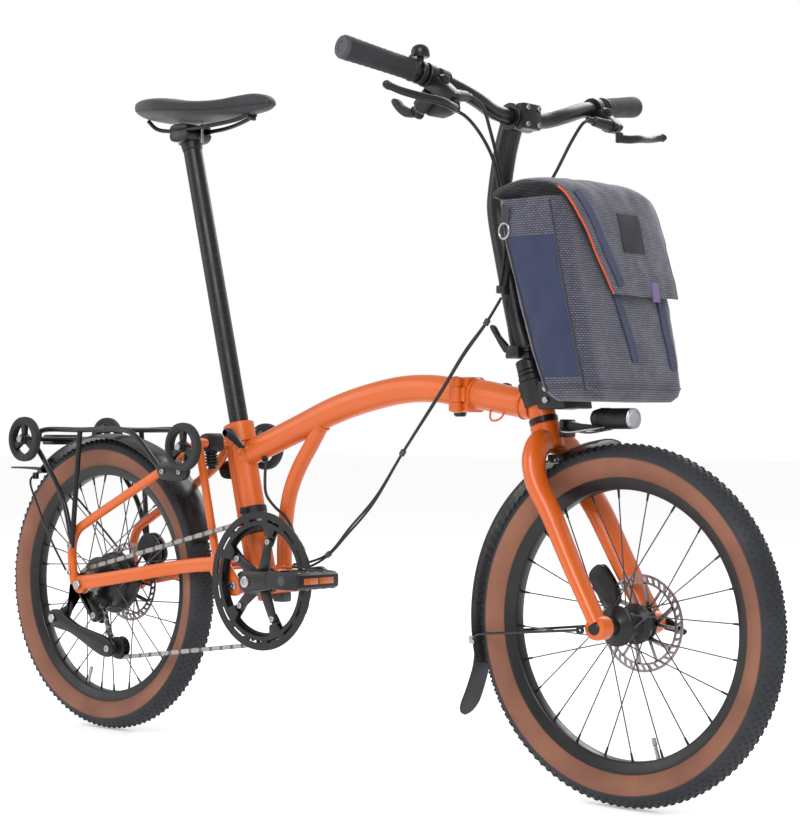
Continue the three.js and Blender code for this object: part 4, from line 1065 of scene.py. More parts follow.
piece("handlebar_tube", "handlepost", {BLACK_PAINT: [tube(bar_path, 11.7, 32, 90)]}, ["handlebar"])
grip_start = at(349.6, 220.8, 1034.3)
grip_end = at(326, 338, 1053)
grip_axis = (grip_end - grip_start).normalized()
grip_length = (grip_end - grip_start).length
grip_profile = [(14, 0), (15.6, 1), (15.8, 6), (14.6, 8)]
for k in range(1, 20):
    share = k / 20
    swell = 15.0 + 1.5 * share**2 + 0.55 * (k % 2)
    grip_profile.append((swell, 8 + (grip_length - 12) * share))
grip_profile += [(16.7, grip_length - 3), (16.8, grip_length), (11, grip_length)]
cap_profile = [(12, -0.5), (16.8, 0), (16.6, 3), (14.8, 6), (8, 6.3), (7.4, 5.2), (0.05, 5.2)]
for side_name, flip in (("left", False), ("right", True)):
    sleeve = lathe(grip_profile, grip_start, grip_axis, 56)
    cap = lathe(cap_profile, grip_end, grip_axis, 48)
    ring = lathe([(12.5, 0.4), (16.4, 0.4), (16.6, 1), (16.6, 5.5), (16, 6), (12.5, 6), (12.5, 0.4)],
        grip_start, grip_axis, 48)
    shapes = on_side((sleeve, cap, ring), flip)
    piece(f"grip_{side_name}_sleeve", "handlepost",
        {GRIP: shapes[:1], GREY_PLASTIC: shapes[1:2], BLACK_METAL: shapes[2:]}, [f"grip_{side_name}"])


def bar_ring(x, y, z, half, radius, edge=1.2):
    start = at(x + 0.15 * half, y - half, z - 0.19 * half)
    end = at(x - 0.15 * half, y + half, z + 0.19 * half)
    return open_tube(start, end, radius, 12.1)


body_outline = smooth_outline([(350, 1018), (360, 1024), (373, 1026), (386, 1017), (397, 1008),
    (406, 998), (397, 989), (384, 990), (366, 1003), (352, 1012)], 48)
brake_shapes = [
    bar_ring(353.6, 195.5, 1029.6, 7, 17.4),
    slab(body_outline, 183, 203, 3),
    rod(at(386, 150, 1003), at(392, 186, 999), 7.5, 9.5, 2, 32),
    rod(at(384, 138, 1004), at(386, 152, 1003), 4.5, 5.5, 1.2, 24),
    block((366, 187, 1016), (388, 199, 1027), 2.5),
]
lever_path = [at(404, 190, 979), at(411, 210, 979), at(414, 232, 982), at(405, 268, 986),
    at(396, 300, 991), at(394, 326, 996)]


def lever_size(share):
    tip = max(0.0, (share - 0.93) / 0.07)
    return (4.2 - 1.2 * share, 6.6 - 1.2 * share + 1.4 * tip)


lever_shapes = [
    tube(lever_path, lever_size, 20, 44),
    sphere(at(394, 327, 996.2), 5.6),
    rod(at(404, 194, 973), at(404, 194, 988.4), 6, None, 1, 24),
]
for side_name, flip in (("left", False), ("right", True)):
    bodies = on_side(brake_shapes, flip)
    levers = on_side(lever_shapes, flip)
    screws = [bolt(at(404, -194 if flip else 194, 999), (0, 0, 1), 3.6, 2.6),
        bolt(at(377, -193 if flip else 193, 1027), (0, 0, 1), 3.2, 2.4)]
    finishes = {BLACK_METAL: bodies, STEEL: screws}
    if flip:
        pod = smooth_outline([(334, 984), (342, 976), (362, 978), (376, 988), (374, 1002), (356, 1010),
            (340, 1002)], 44)
        finishes[BLACK_PLASTIC] = [
            slab(pod, -184, -150, 4),
            mirrored(bar_ring(357, 172, 1025.5, 8, 16.5)),
            rod(at(354, -186, 1006), at(331, -186, 987), 14, 13, 2, 36),
        ]
        finishes[GREY_PLASTIC] = [slab([(346, 984), (366, 984), (366, 998), (346, 998)], -151.5, -149.2,
            0.6)]
    piece(f"brake_lever_{side_name}_body", "handlepost", finishes, [f"brake_body_{side_name}"])
    piece(f"brake_lever_{side_name}_blade", f"brake_lever_{side_name}", {BLACK_METAL: levers},
        [f"brake_lever_{side_name}"])
shift_outline = smooth_outline([(329, 976), (324, 984), (306, 993), (293, 1004), (287, 1001),
    (296, 987), (314, 975)], 40)
piece(
    "shift_lever_paddle", "shift_lever",
    {BLACK_PLASTIC: [slab(shift_outline, -200, -188, 2),
        rod(at(328, -186, 984.2), at(322, -186, 978.7), 11, None, 1.6, 32)]},
    ["shift_lever"],
)
dome = [(2, 0), (12.2, 0), (13.2, 1.2), (13.4, 5), (13.1, 10), (11.2, 14.2), (7.6, 17), (3.6, 18.2),
    (0.05, 18.5)]
bell_centre = at(351, -209, 1054)
piece(
    "bell_dome", "handlepost",
    {BLACK_METAL: [mirrored(bar_ring(351.2, 210.5, 1032.4, 4, 16.6)),
        rod(at(351, -209, 1046), at(351, -209, 1055), 5, None, 0.8, 24)],
     BLACK_PAINT: [lathe(dome, bell_centre, (0, 0, 1), 48)]},
    ["bell"],
)
piece(
    "bell_hammer", "bell_striker",
    {BLACK_PLASTIC: [rod(at(337, -209, 1052), at(333, -209, 1056), 2, None, 0.4, 14),
        sphere(at(333.4, -209, 1057), 3.1)]},
    ["bell_striker"],
)
bar_cable_paths = [
    [at(386, -140, 1004), at(389, -118, 992), at(386, -96, 960), at(375, -60, 905), at(367, -34, 850),
        at(364, -25, 800), at(356, -23.5, 736)],
    [at(386, 140, 1004), at(390, 118, 994), at(388, 96, 968), at(380, 56, 905), at(372, 10, 850),
        at(366, -14, 800), at(351, -23.5, 736)],
    [at(352, -150, 991), at(368, -128, 978), at(377, -84, 930), at(368, -50, 868), at(362, -32, 800),
        at(346, -23.5, 736)],
]
piece(
    "handlebar_cables", "handlepost",
    {BLACK_PLASTIC: [tube(path, 2.5, 14, 60) for path in bar_cable_paths] + [block((342.5, -29, 732),
        (359.5, -18.6, 744), 2)]},
    ["bar_cables"],
)
long_route = [
    at(349, -25, 724), at(330, -34, 690), at(296, -44, 645), at(255, -49, 588), at(184, -55, 496),
    at(125, -54, 422),
    at(66, -48, 373), at(14, -39, 334), at(-32, -35, 316), at(-70, -33, 312),
]
strand_offsets = [2, 2, 5, 5, 2, 5.5, 5.5, 2, 4, 2]
cable_pair = [
    tube([p + at(0, sign * 0.6 * k, sign * k) for p, k in zip(long_route, strand_offsets)], 1.9, 12,
        110)
    for sign in (-1, 1)
]
ties = []
for spot, along in ((long_route[1], at(-0.5, -0.15, -0.85)), (long_route[4], at(-0.6, 0, -0.8)),
    (long_route[7], at(-0.8, 0.1, -0.5))):
    ties.append(rod(spot - along * 5, spot + along * 5, 4.6, None, 1.2, 20))
long_cables = piece("long_control_cables", None, {BLACK_PLASTIC: cable_pair, GREY_PLASTIC: ties},
    ["long_cables"])
frame_cable_path = [
    at(-162, -5, 479), at(-157, -12, 450), at(-148, -18, 425), at(-124, -21, 404), at(-98, -21, 388),
    at(-74, -25, 358), at(-58, -31, 325),
]
piece("frame_brake_hose", "frame", {BLACK_PLASTIC: [tube(frame_cable_path, 2.5, 14, 56)]},
    ["frame_cable"])

# ------------------------------------------------------------------ seat
post_marks = [
    rod(seat_point(z), seat_point(z + 0.5), 16.05, None, 0.1, 48) for z in range(560, 880, 20)
]
piece(
    "seatpost_tube", "seatpost",
    {BLACK_METAL: [rod(seat_point(395), seat_point(1006), 16, None, 0.8, 48)],
        GREY_PLASTIC: post_marks},
    ["seatpost"],
)
rail_path = [
    at(-424, 36, 1060), at(-410, 30, 1046), at(-384, 24, 1040), at(-312, 23, 1040), at(-272, 18, 1042),
    at(-226, 9, 1048), at(-204, 7, 1054),
]
clamp_x = seat_point(1024).x
clamp_lower = smooth_outline([(clamp_x - 25, 1030), (clamp_x - 20, 1022), (clamp_x + 14, 1021),
    (clamp_x + 22, 1030),
                              (clamp_x + 20, 1037), (clamp_x - 22, 1037)], 40)
clamp_upper = smooth_outline([(clamp_x - 24, 1043), (clamp_x + 20, 1043), (clamp_x + 18, 1048),
    (clamp_x, 1050),
                              (clamp_x - 20, 1048)], 40)
piece(
    "saddle_clamp_body", "seatpost",
    {BLACK_METAL: [rod(seat_point(1006.3), seat_point(1024), 17.2, 19, 1.2, 40),
        slab(clamp_lower, -28, 28, 2.4),
                   slab(clamp_upper, -28, 28, 2)],
     BLACK_PAINT: both(tube(rail_path, 3.5, 16, 70)) + [cross_bar(at(-205, 0, 1047.6), -7, 7, 3.5)],
     STEEL: [
         rod(at(clamp_x + 27, 0, 1018), at(clamp_x + 27, 0, 1054), 3, None, 0.6, 16),
         rod(at(clamp_x - 28, 0, 1018), at(clamp_x - 28, 0, 1052), 3, None, 0.6, 16),
     ]},
    ["saddle_clamp"],
)
SADDLE_STATIONS = [
    (-434, 34, 1070, 1084), (-432, 54, 1065, 1091), (-425, 66, 1061, 1095), (-404, 74, 1057.5, 1097),
    (-370, 77, 1056.5, 1094.5), (-335, 68, 1056, 1088), (-300, 52, 1055, 1084), (-262, 36, 1054, 1084),
    (-225, 26, 1054, 1087), (-195, 21, 1055, 1087.5), (-172, 16.5, 1057.5, 1083),
    (-160, 11, 1062, 1076),
    (-156, 5, 1066, 1071),
]


def saddle_ring(x, half, low, high, groove):
    """One cross-section of the saddle, with a shallow channel along its middle."""
    ring = []
    middle = low + (high - low) * 0.5
    for k in range(40):
        angle = 2 * math.pi * k / 40
        cosine, sine = math.cos(angle), math.sin(angle)
        y = half * math.copysign(abs(cosine) ** 0.72, cosine)
        if sine >= 0:
            z = middle + (high - middle) * abs(sine) ** 0.62
            z -= groove * math.exp(-((y / 11) ** 2)) * (sine > 0.2)
        else:
            y *= 0.9 + 0.1 * (1 - abs(sine))
            z = middle - (middle - low) * abs(sine) ** 0.8
        ring.append(at(x, y, z))
    return ring


def between(stations, share):
    """A station at a share of the way along, on smooth curves through them all."""
    place = share * (len(stations) - 1)
    index = min(int(place), len(stations) - 2)
    local = place - index
    before = stations[max(index - 1, 0)]
    after = stations[min(index + 2, len(stations) - 1)]
    values = []
    for p0, p1, p2, p3 in zip(before, stations[index], stations[index + 1], after):
        slope = (p2 - p0) / 2
        next_slope = (p3 - p1) / 2
        values.append(
            p1 * (2 * local**3 - 3 * local**2 + 1)
            + slope * (local**3 - 2 * local**2 + local)
            + p2 * (3 * local**2 - 2 * local**3)
            + next_slope * (local**3 - local**2)
        )
    return values


saddle_rings = []
for step in range(61):
    x, half, low, high = between(SADDLE_STATIONS, step / 60)
    along = (x + 433) / 277
    groove = 2.6 * math.sin(math.pi * min(max((along - 0.12) / 0.75, 0), 1))
    saddle_rings.append(saddle_ring(x, half, low, high, groove))
saddle = piece("saddle_cover", "seatpost", {SADDLE_COVER: [skin(saddle_rings)]}, ["saddle"], smooth=60)
seam_points = []
for step in range(3, 58):
    x, half, low, high = between(SADDLE_STATIONS, step / 60)
    seam_points.append(at(x, half * 0.965, low + (high - low) * 0.36))
piece("saddle_seam", "seatpost", {BLACK_PLASTIC: both(tube(seam_points, 0.8, 8, 120))})

# ------------------------------------------------------------------ rear frame
chain_stay_path = [
    at(-574, 68, 259), at(-520, 67, 266), at(-430, 58, 281), at(-345, 41.5, 296), at(-300, 39, 302),
    at(-236, 38.5, 308),
]
seat_stay_path = [
    at(-572, 70.5, 258), at(-578, 70.5, 290), at(-578, 70.5, 328), at(-566, 70, 351), at(-530, 69, 372),
    at(-452, 66, 411), at(-350, 56, 465), at(-312, 44, 491), at(-294, 37, 507),
]
pivot_outline = smooth_outline([(-256, 318), (-224, 317), (-200, 293), (-186, 277), (-188, 260),
    (-208, 257), (-258, 294)], 48)
dropout = lathe([(7.6, 62.4), (13, 62.4), (15, 64), (15, 71.5), (13.5, 73), (7.6, 73), (7.6, 62.4)],
    REAR_AXLE, segments=44)
rear_side = [
    tube(chain_stay_path, lambda share: (5.2, 12.6 - 1.2 * math.sin(math.pi * share)), 26, 56),
    slab(pivot_outline, 33.6, 41.4, 1.8),
    tube(seat_stay_path, 7.9, 24, 90),
    rod(at(-293, 35.5, 510), at(-244, 36, 308), 6.9, None, 1, 26),
    dropout,
    cross_bar(at(-294, 0, 507), 16.8, 37, 8.4, 1.5),
]
piece(
    "rear_frame_tubes", "rear_frame",
    {ORANGE: both(*rear_side) + [cross_bar(at(-243, 0, 305), -36, 36, 6)],
     BLACK_METAL: [cross_bar(REAR_AXLE, -68, 68, 7.3), cross_bar(REAR_PIVOT, -41.5, 41.5, 5.9)],
     STEEL: both(bolt(REAR_PIVOT + at(0, 41.4, 0), ACROSS, 7, 2.6),
         hex_nut(REAR_AXLE + at(0, 73, 0), ACROSS, 9, 6),
                 bolt(at(-578, 77.5, 278), ACROSS, 4.6, 3))},
    ["rear_frame"],
)
block_outline = smooth_outline([(-315, 498), (-311, 518), (-300, 523), (-288, 522), (-285, 510),
    (-285, 497), (-294, 492)], 40)
spring_rings = [
    lathe([(7, 0), (11, 1.5), (11, 4), (7, 5.5)], at(-300, 0, 493) + at(0.5, 0, -5) * k, at(3, 0, -31),
        28) for k in range(5)
]
piece(
    "suspension_elastomer", "rear_frame",
    {BLACK_PLASTIC: [slab(block_outline, -16.2, 16.2, 3)] + spring_rings,
     BLACK_METAL: [rod(at(-300, 0, 493), at(-297, 0, 462), 6, None, 1, 24)]},
    ["suspension_block"],
)
rear_flap = paddle([at(-730, 0, 450), at(-748, 0, 455), at(-790, 0, 457.4), at(-837, 0, 457.5)], 19,
    1.5)
rear_stay = [
    tube([at(-735, 31, 447), at(-742, 36, 437), at(-700, 52, 390), at(-640, 68, 330),
        at(-590, 76, 282)], 2.0, 12, 50),
    block((-742, 26, 438), (-730, 32, 450), 1.2),
]
piece(
    "rear_guard", "rear_frame",
    {BLACK_PAINT: [guard_shape(REAR_AXLE, 19, 133, 84)], BLACK_PLASTIC: [rear_flap],
        BLACK_METAL: both(*rear_stay)},
    ["rear_mudguard"],
)
REAR_ROLLERS = at(-684, 0, 511)
FRONT_ROLLERS = at(-265, 0, 501)
ROLLER_Y = 95
rack_rail_path = [
    at(-684, 62, 513), at(-676, 68, 523), at(-660, 70, 527.5), at(-560, 70, 528), at(-442, 70, 528),
    at(-415, 70, 519),
    at(-348, 71, 462),
]
rack_side = [
    tube(rack_rail_path, 4.6, 18, 70),
    rod(at(-560, 70.5, 527), at(-560, 87, 322), 4.6, None, 1, 20),
    tube([at(-684, 78, 510), at(-642, 80, 468), at(-586, 84, 400), at(-562, 86, 335)], 4.6, 18, 40),
    slab(smooth_outline([(-353, 470), (-346, 448), (-322, 444), (-300, 444), (-280, 450), (-278, 468),
        (-300, 474), (-335, 476)], 44), 66.5, 75.5, 2),
    rod(at(-286, 71, 466), at(-265, 83, 501), 5, None, 1, 20),
    cross_bar(REAR_ROLLERS, 82, 105, 4),
    cross_bar(FRONT_ROLLERS, 80, 105, 4),
]
piece(
    "rear_rack_frame", "rear_frame",
    {BLACK_PAINT: both(*rack_side) + [
        cross_bar(REAR_ROLLERS, -84, 84, 4.6, 1),
        *[cross_bar(at(x, 0, 528), -70, 70, 4.2, 1) for x in (-442, -610, -526)],
     ],
     STEEL: both(bolt(at(-338, 75.5, 459), ACROSS, 4.6, 3), bolt(at(-296, 75.5, 459), ACROSS, 4.6, 3),
                 *[hex_nut(spot + at(0, 104.6, 0), ACROSS, 6.4, 4) for spot in (REAR_ROLLERS,
                     FRONT_ROLLERS)],
                 bolt(at(-560, 91.5, 326), ACROSS, 5, 3)),
     BLACK_PLASTIC: [slab([(-716, 501), (-712, 519), (-684, 519), (-682, 501)], -32, 32, 3)],
     RED: [slab([(-718, 503), (-714.5, 517), (-712, 517), (-714, 503)], -29, 29, 0.8)]},
    ["rack"],
)
rear_caliper_outline = [(-531, 318), (-520, 340), (-500, 346), (-478, 332), (-470, 306), (-484, 292),
    (-508, 296)]
piece(
    "rear_brake_caliper", "rear_frame",
    {BLACK_METAL: caliper(REAR_AXLE, rear_caliper_outline, 37, 56.5, 42.8, 47.2),
     STEEL: [bolt(at(-520, 56.5, 326), ACROSS, 3.8, 3), bolt(at(-482, 56.5, 304), ACROSS, 3.8, 3)]},
    ["rear_caliper"],
)


def rack_wheel(name, middle, y):
    """A small three-spoked roller with a rubber tyre, y to one side of a middle point."""
    centre = middle + ACROSS * y
    tyre_ring = lathe([(31, -7.4), (37, -7.2), (39.4, -5), (40, 0), (39.4, 5), (37, 7.2), (31, 7.4),
        (31, -7.4)], centre, segments=64)
    core = [
        lathe([(27.5, -6), (31.2, -6.4), (31.2, 6.4), (27.5, 6), (27.5, -6)], centre, segments=64),
        lathe([(4.3, -7.2), (8.6, -7.2), (9.2, -6), (9.2, 6), (8.6, 7.2), (4.3, 7.2), (4.3, -7.2)],
            centre, segments=32),
    ]
    for degrees in (90, 210, 330):
        out = on_circle(at(0, 0, 0), 1, degrees, 0)
        cross = at(-out.z, 0, out.x)
        inner, outer = centre + out * 7, centre + out * 29
        corners = [inner + cross * 4.6, outer + cross * 6.5, outer - cross * 6.5, inner - cross * 4.6]
        core.append(slab([(p.x, p.z) for p in corners], y - 4.2, y + 4.2, 1.4))
    return piece(name + "_wheel", name, {TREAD: [tyre_ring], BLACK_PLASTIC: core}, [name])


for end_name, middle in (("rear", REAR_ROLLERS), ("front", FRONT_ROLLERS)):
    rack_wheel(f"rack_roller_{end_name}_left", middle, ROLLER_Y)
    rack_wheel(f"rack_roller_{end_name}_right", middle, -ROLLER_Y)

# ------------------------------------------------------------------ chain and tensioner
TENSION_PIVOT = at(-626, 0, 195)
TENSION_ROLLER = at(-477, 0, 152)
GUIDE_PULLEY = at(-533, 0, 204)
guide_outline = smooth_outline(
    [(-594, 274), (-583, 276), (-580, 246), (-556, 214), (-534, 192), (-521, 200), (-526, 212),
        (-566, 240), (-582, 238),
     (-608, 219), (-636, 203), (-636, 188), (-612, 187), (-596, 214), (-596, 246)], 84)
piece(
    "chain_guide_plate", "rear_frame",
    {BLACK_PLASTIC: [slab(guide_outline, -59.2, -53.2, 1.5),
        cross_bar(TENSION_PIVOT, -78.5, -53, 5, 1)],
     BLACK_METAL: [cross_bar(GUIDE_PULLEY, -54, -40, 10.8, 1),
         cross_bar(GUIDE_PULLEY, -42.6, -40, 14.8, 0.6)],
     STEEL: [hex_nut(TENSION_PIVOT + at(0, -76, 0), -ACROSS, 8, 4),
         bolt(GUIDE_PULLEY + at(0, -59.2, 0), -ACROSS, 6, 3)]},
    ["chain_guide"],
)
arm_outline = smooth_outline(
    [(-640, 196), (-634, 208), (-616, 210), (-560, 187), (-474, 166), (-463, 152), (-472, 139),
        (-492, 138), (-580, 172),
     (-630, 182)], 72)
piece(
    "tensioner_cage", "tensioner",
    {BLACK_METAL: [slab(arm_outline, -75.6, -66.4, 2), cross_bar(TENSION_ROLLER, -67, -39, 4)],
     STEEL: [bolt(TENSION_ROLLER + at(0, -75.6, 0), -ACROSS, 6, 3)]},
    ["tensioner_arm"],
)
jockey = [gear(TENSION_ROLLER, 11, 12.6, 17.5, -48.6, -45.4, 6), lathe(
    [(4.5, -57), (12, -57), (18, -55.4), (19, -54), (19, -52.6), (12.4, -51), (12.4, -43), (19, -41.4),
        (18.4, -39.7),
     (4.5, -39.7), (4.5, -57)], at(TENSION_ROLLER.x, 0, TENSION_ROLLER.z), segments=44)]
piece("tensioner_jockey", "tensioner_roller", {BLACK_PLASTIC: jockey}, ["tensioner_roller"])


def touch_degrees(start, end, reach, turn):
    """Where a straight run leaves the circle round start; see the chain's path."""
    apart = end - start
    angle = math.atan2(apart.z, apart.x) + turn * math.acos(reach / math.hypot(apart.x, apart.z))
    return math.degrees(angle)


CHAIN_PITCH = 12.7
RING_PITCH = 101.0
SPROCKET_PITCH = 27.6
TENSION_PITCH = 17.2
GUIDE_PITCH = 15.6
top_run = touch_degrees(REAR_AXLE, BOTTOM_BRACKET, SPROCKET_PITCH - RING_PITCH, 1)
low_run = touch_degrees(TENSION_ROLLER, BOTTOM_BRACKET, TENSION_PITCH - RING_PITCH, -1)
back_run = touch_degrees(TENSION_ROLLER, GUIDE_PULLEY, TENSION_PITCH + GUIDE_PITCH, 1)
sprocket_run = touch_degrees(GUIDE_PULLEY, REAR_AXLE, GUIDE_PITCH + SPROCKET_PITCH, -1)
chain_line = []
for centre, radius, start, end in (
    (BOTTOM_BRACKET, RING_PITCH, top_run, low_run),
    (TENSION_ROLLER, TENSION_PITCH, low_run + 360, back_run),
    (GUIDE_PULLEY, GUIDE_PITCH, back_run - 180, sprocket_run),
    (REAR_AXLE, SPROCKET_PITCH, sprocket_run + 180, top_run),
):
    for k in range(41):
        chain_line.append(on_circle(centre, radius, start + (end - start) * k / 40, CHAIN_PLANE))


def chain_pins(line):
    """Pin centres a whole number of equal steps apart along the closed line."""
    closed = line + [line[0]]
    lengths = [0.0]
    for a, b in zip(closed, closed[1:]):
        lengths.append(lengths[-1] + (b - a).length)
    count = 2 * round(lengths[-1] / CHAIN_PITCH / 2)
    pins = []
    k = 0
    for i in range(count):
        target = lengths[-1] * i / count
        while lengths[k + 1] < target:
            k += 1
        share = (target - lengths[k]) / max(lengths[k + 1] - lengths[k], 1e-9)
        pins.append(closed[k].lerp(closed[k + 1], share))
    return pins


def chain_plate(start, end, y, half):
    """A side plate with rounded ends round two pins."""
    along = (end - start).normalized()
    out = along.cross(ACROSS)
    outline = []
    for base, sign in ((end, 1), (start, -1)):
        for degrees in (-80, -40, 0, 40, 80):
            angle = math.radians(degrees)
            spot = base + (along * sign * math.cos(angle) + out * -sign * math.sin(angle)) * 3.7
            outline.append((spot.x, spot.z))
    return slab(outline, y - half, y + half, 0)


pins = chain_pins(chain_line)
links = []
inner_links = []
rollers = []
for i, pin in enumerate(pins):
    after = pins[(i + 1) % len(pins)]
    spread = 3.0 if i % 2 else 2.1
    for sign in (-1, 1):
        (links if i % 2 else inner_links).append(chain_plate(pin, after, CHAIN_PLANE + sign * spread,
            0.42))
    rollers.append(cross_bar(pin, CHAIN_PLANE - 1.6, CHAIN_PLANE + 1.6, 3.2, 0.3, 12))
    rollers.append(cross_bar(pin, CHAIN_PLANE - 3.5, CHAIN_PLANE + 3.5, 1.5, 0.2, 8))
chain = piece("drive_chain", None, {CHAIN_STEEL: links, CHAIN_DARK: inner_links, STEEL: rollers},
    ["chain"])

# ------------------------------------------------------------------ cranks and pedals
crank_way = on_circle(at(0, 0, 0), 1.0, CRANK_DEGREES, 0)
PEDAL_RIGHT = BOTTOM_BRACKET + crank_way * CRANK_LENGTH
PEDAL_LEFT = BOTTOM_BRACKET - crank_way * CRANK_LENGTH
SPIDER_DEGREES = [CRANK_DEGREES + 72 * k for k in range(5)]


def arm_outline_between(end, wide, middle, narrow):
    along = (end - BOTTOM_BRACKET).normalized()
    base = math.degrees(math.atan2(along.z, along.x))
    spots = [on_circle(BOTTOM_BRACKET, wide, base + 90 + 180 * k / 10) for k in range(11)]
    waist = BOTTOM_BRACKET.lerp(end, 0.55)
    cross = at(-along.z, 0, along.x)
    spots.append(waist - cross * middle)
    spots += [on_circle(end, narrow, base - 90 + 180 * k / 10) for k in range(11)]
    spots.append(waist + cross * middle)
    return [(p.x, p.z) for p in spots]


def spoke_plate(degrees, inner, outer, wide, narrow, low, high, edge=1.4):
    a = on_circle(BOTTOM_BRACKET, inner, degrees)
    b = on_circle(BOTTOM_BRACKET, outer, degrees)
    cross = at(-(b - a).z, 0, (b - a).x).normalized()
    corners = [a + cross * wide, a - cross * wide, b - cross * narrow, b + cross * narrow]
    return slab([(p.x, p.z) for p in corners], low, high, edge)


def crank_arm(end, low, high):
    return slab(arm_outline_between(end, 17.5, 11.5, 12.8), low, high, 3)


piece(
    "crank_arms", "crank",
    {BLACK_METAL: [
        cross_bar(BOTTOM_BRACKET, -84, 84, 9.1),
        lathe([(9, -78), (19, -78), (20, -76), (20, -51), (18, -49.4), (9, -49.4), (9, -78)],
            BOTTOM_BRACKET, segments=48),
        crank_arm(PEDAL_RIGHT, -89.6, -76.2),
        crank_arm(PEDAL_LEFT, 76.2, 89.6),
        *[spoke_plate(d, 8, 70, 12, 7.4, -53.6, -49.4) for d in SPIDER_DEGREES],
     ],
     STEEL: [cross_bar(PEDAL_RIGHT, -172, -80, 5.8), cross_bar(PEDAL_LEFT, 80, 172, 5.8),
             bolt(BOTTOM_BRACKET + at(0, -89.6, 0), -ACROSS, 9, 2.4),
             bolt(BOTTOM_BRACKET + at(0, 89.6, 0), ACROSS, 9, 2.4),
             *[bolt(on_circle(BOTTOM_BRACKET, 65, d, -53.6), -ACROSS, 5,
                 2.6) for d in SPIDER_DEGREES]]},
    ["crankset"],
)


def flat_ring(inner, outer, low, high, segments=120):
    profile = [(inner, low + 0.4), (inner + 0.4, low), (outer - 0.4, low), (outer, low + 0.4),
        (outer, high - 0.4),
               (outer - 0.4, high), (inner + 0.4, high), (inner, high - 0.4), (inner, low + 0.4)]
    return lathe(profile, BOTTOM_BRACKET, segments=segments)


ring_shapes = [gear(BOTTOM_BRACKET, 50, 97.2, 102.6, -48.6, -45.4, 84)]
ring_shapes += [spoke_plate(d, 58, 90, 6.5, 13, -48.8, -45.2) for d in SPIDER_DEGREES]
guard_shapes = [flat_ring(GUARD_RADIUS - 11.5, GUARD_RADIUS, -57.2, -54.2),
    flat_ring(89, 96.5, -57.2, -54.2)]
guard_shapes += [spoke_plate(d, 73, 91, 7.6, 15, -57.0, -54.4) for d in SPIDER_DEGREES]
for k in range(15):
    a = on_circle(BOTTOM_BRACKET, 95, CRANK_DEGREES + 24 * k + 6, -55.7)
    b = on_circle(BOTTOM_BRACKET, GUARD_RADIUS - 10, CRANK_DEGREES + 24 * k + 8, -55.7)
    guard_shapes.append(strap(a, b, 7, 1.4))
guard_shapes += [cross_bar(on_circle(BOTTOM_BRACKET, 92, CRANK_DEGREES + 36 * k), -55, -48.7,
    2.8) for k in range(10)]
piece("chainring_and_guard", "crank", {BLACK_METAL: ring_shapes, BLACK_PLASTIC: guard_shapes},
    ["chainring"])


def pedal_shapes(centre):
    """A caged pedal: body, toothed cage plates and a reflector at each edge."""
    def corner(points):
        return [(centre.x + x, centre.z + z) for x, z in points]
    low, high = -179.5, -92.5
    core = cross_bar(centre, -176, -94, 9.5, 2, 36)
    cage = []
    for sign in (-1, 1):
        rail = [(30, -13.4), (37, -9), (37.6, 0), (37, 9), (30, 13.4), (33, 6), (33, -6)]
        cage.append(slab(corner([(x * sign, z) for x, z in rail]), low, high, 0.9))
    for y0, y1 in ((low, low + 7), (high - 7, high), (-139.5, -132.5)):
        plate = [(-36, -9), (-30, -13.6), (30, -13.6), (36, -9), (36, 9), (30, 13.6), (-30, 13.6),
            (-36, 9)]
        cage.append(slab(corner(plate), y0, y1, 1.4))
    studs = []
    for y in (-172, -154, -136, -118, -100):
        for x in (-31, 31):
            for sign in (-1, 1):
                spot = centre + at(x, y, sign * 12.4)
                studs.append(rod(spot, spot + at(0, 0, sign * 1.5), 2.2, 1.2, 0.3, 10))
    reflectors = []
    for sign in (-1, 1):
        for y0, y1 in ((-168, -137.5), (-134.5, -104)):
            panel = [(36.6 * sign, -5), (38 * sign, -4.6), (38 * sign, 4.6), (36.6 * sign, 5)]
            reflectors.append(slab(corner(panel), y0, y1, 0.3))
    cap = cross_bar(centre, -180, -176, 8, 1.2, 28)
    return core, cage, studs, reflectors, cap


for side_name, centre, flip in (("right", PEDAL_RIGHT, False), ("left", PEDAL_LEFT, True)):
    core, cage, studs, reflectors, cap = pedal_shapes(centre)
    turn = mirrored if flip else (lambda shape: shape)
    piece(
        f"pedal_{side_name}_cage", f"pedal_{side_name}",
        {BLACK_PLASTIC: [turn(s) for s in cage + [core]], STEEL: [turn(s) for s in studs],
         AMBER: [turn(s) for s in reflectors], GREY_PLASTIC: [turn(cap)]},
        [f"pedal_{side_name}"],
    )

# ------------------------------------------------------------------ bag
BAG_HALF = 117.0
BAG_LOW = {"z": 572.0, "back": 488.0, "front": 592.0}
BAG_HIGH = {"z": 858.0, "back": 399.0, "front": 524.0}


def bag_edges(z):
    """Where the bag's back and front are at a height."""
    share = (z - BAG_LOW["z"]) / (BAG_HIGH["z"] - BAG_LOW["z"])
    back = BAG_LOW["back"] + (BAG_HIGH["back"] - BAG_LOW["back"]) * share
    front = BAG_LOW["front"] + (BAG_HIGH["front"] - BAG_LOW["front"]) * share
    return back, front


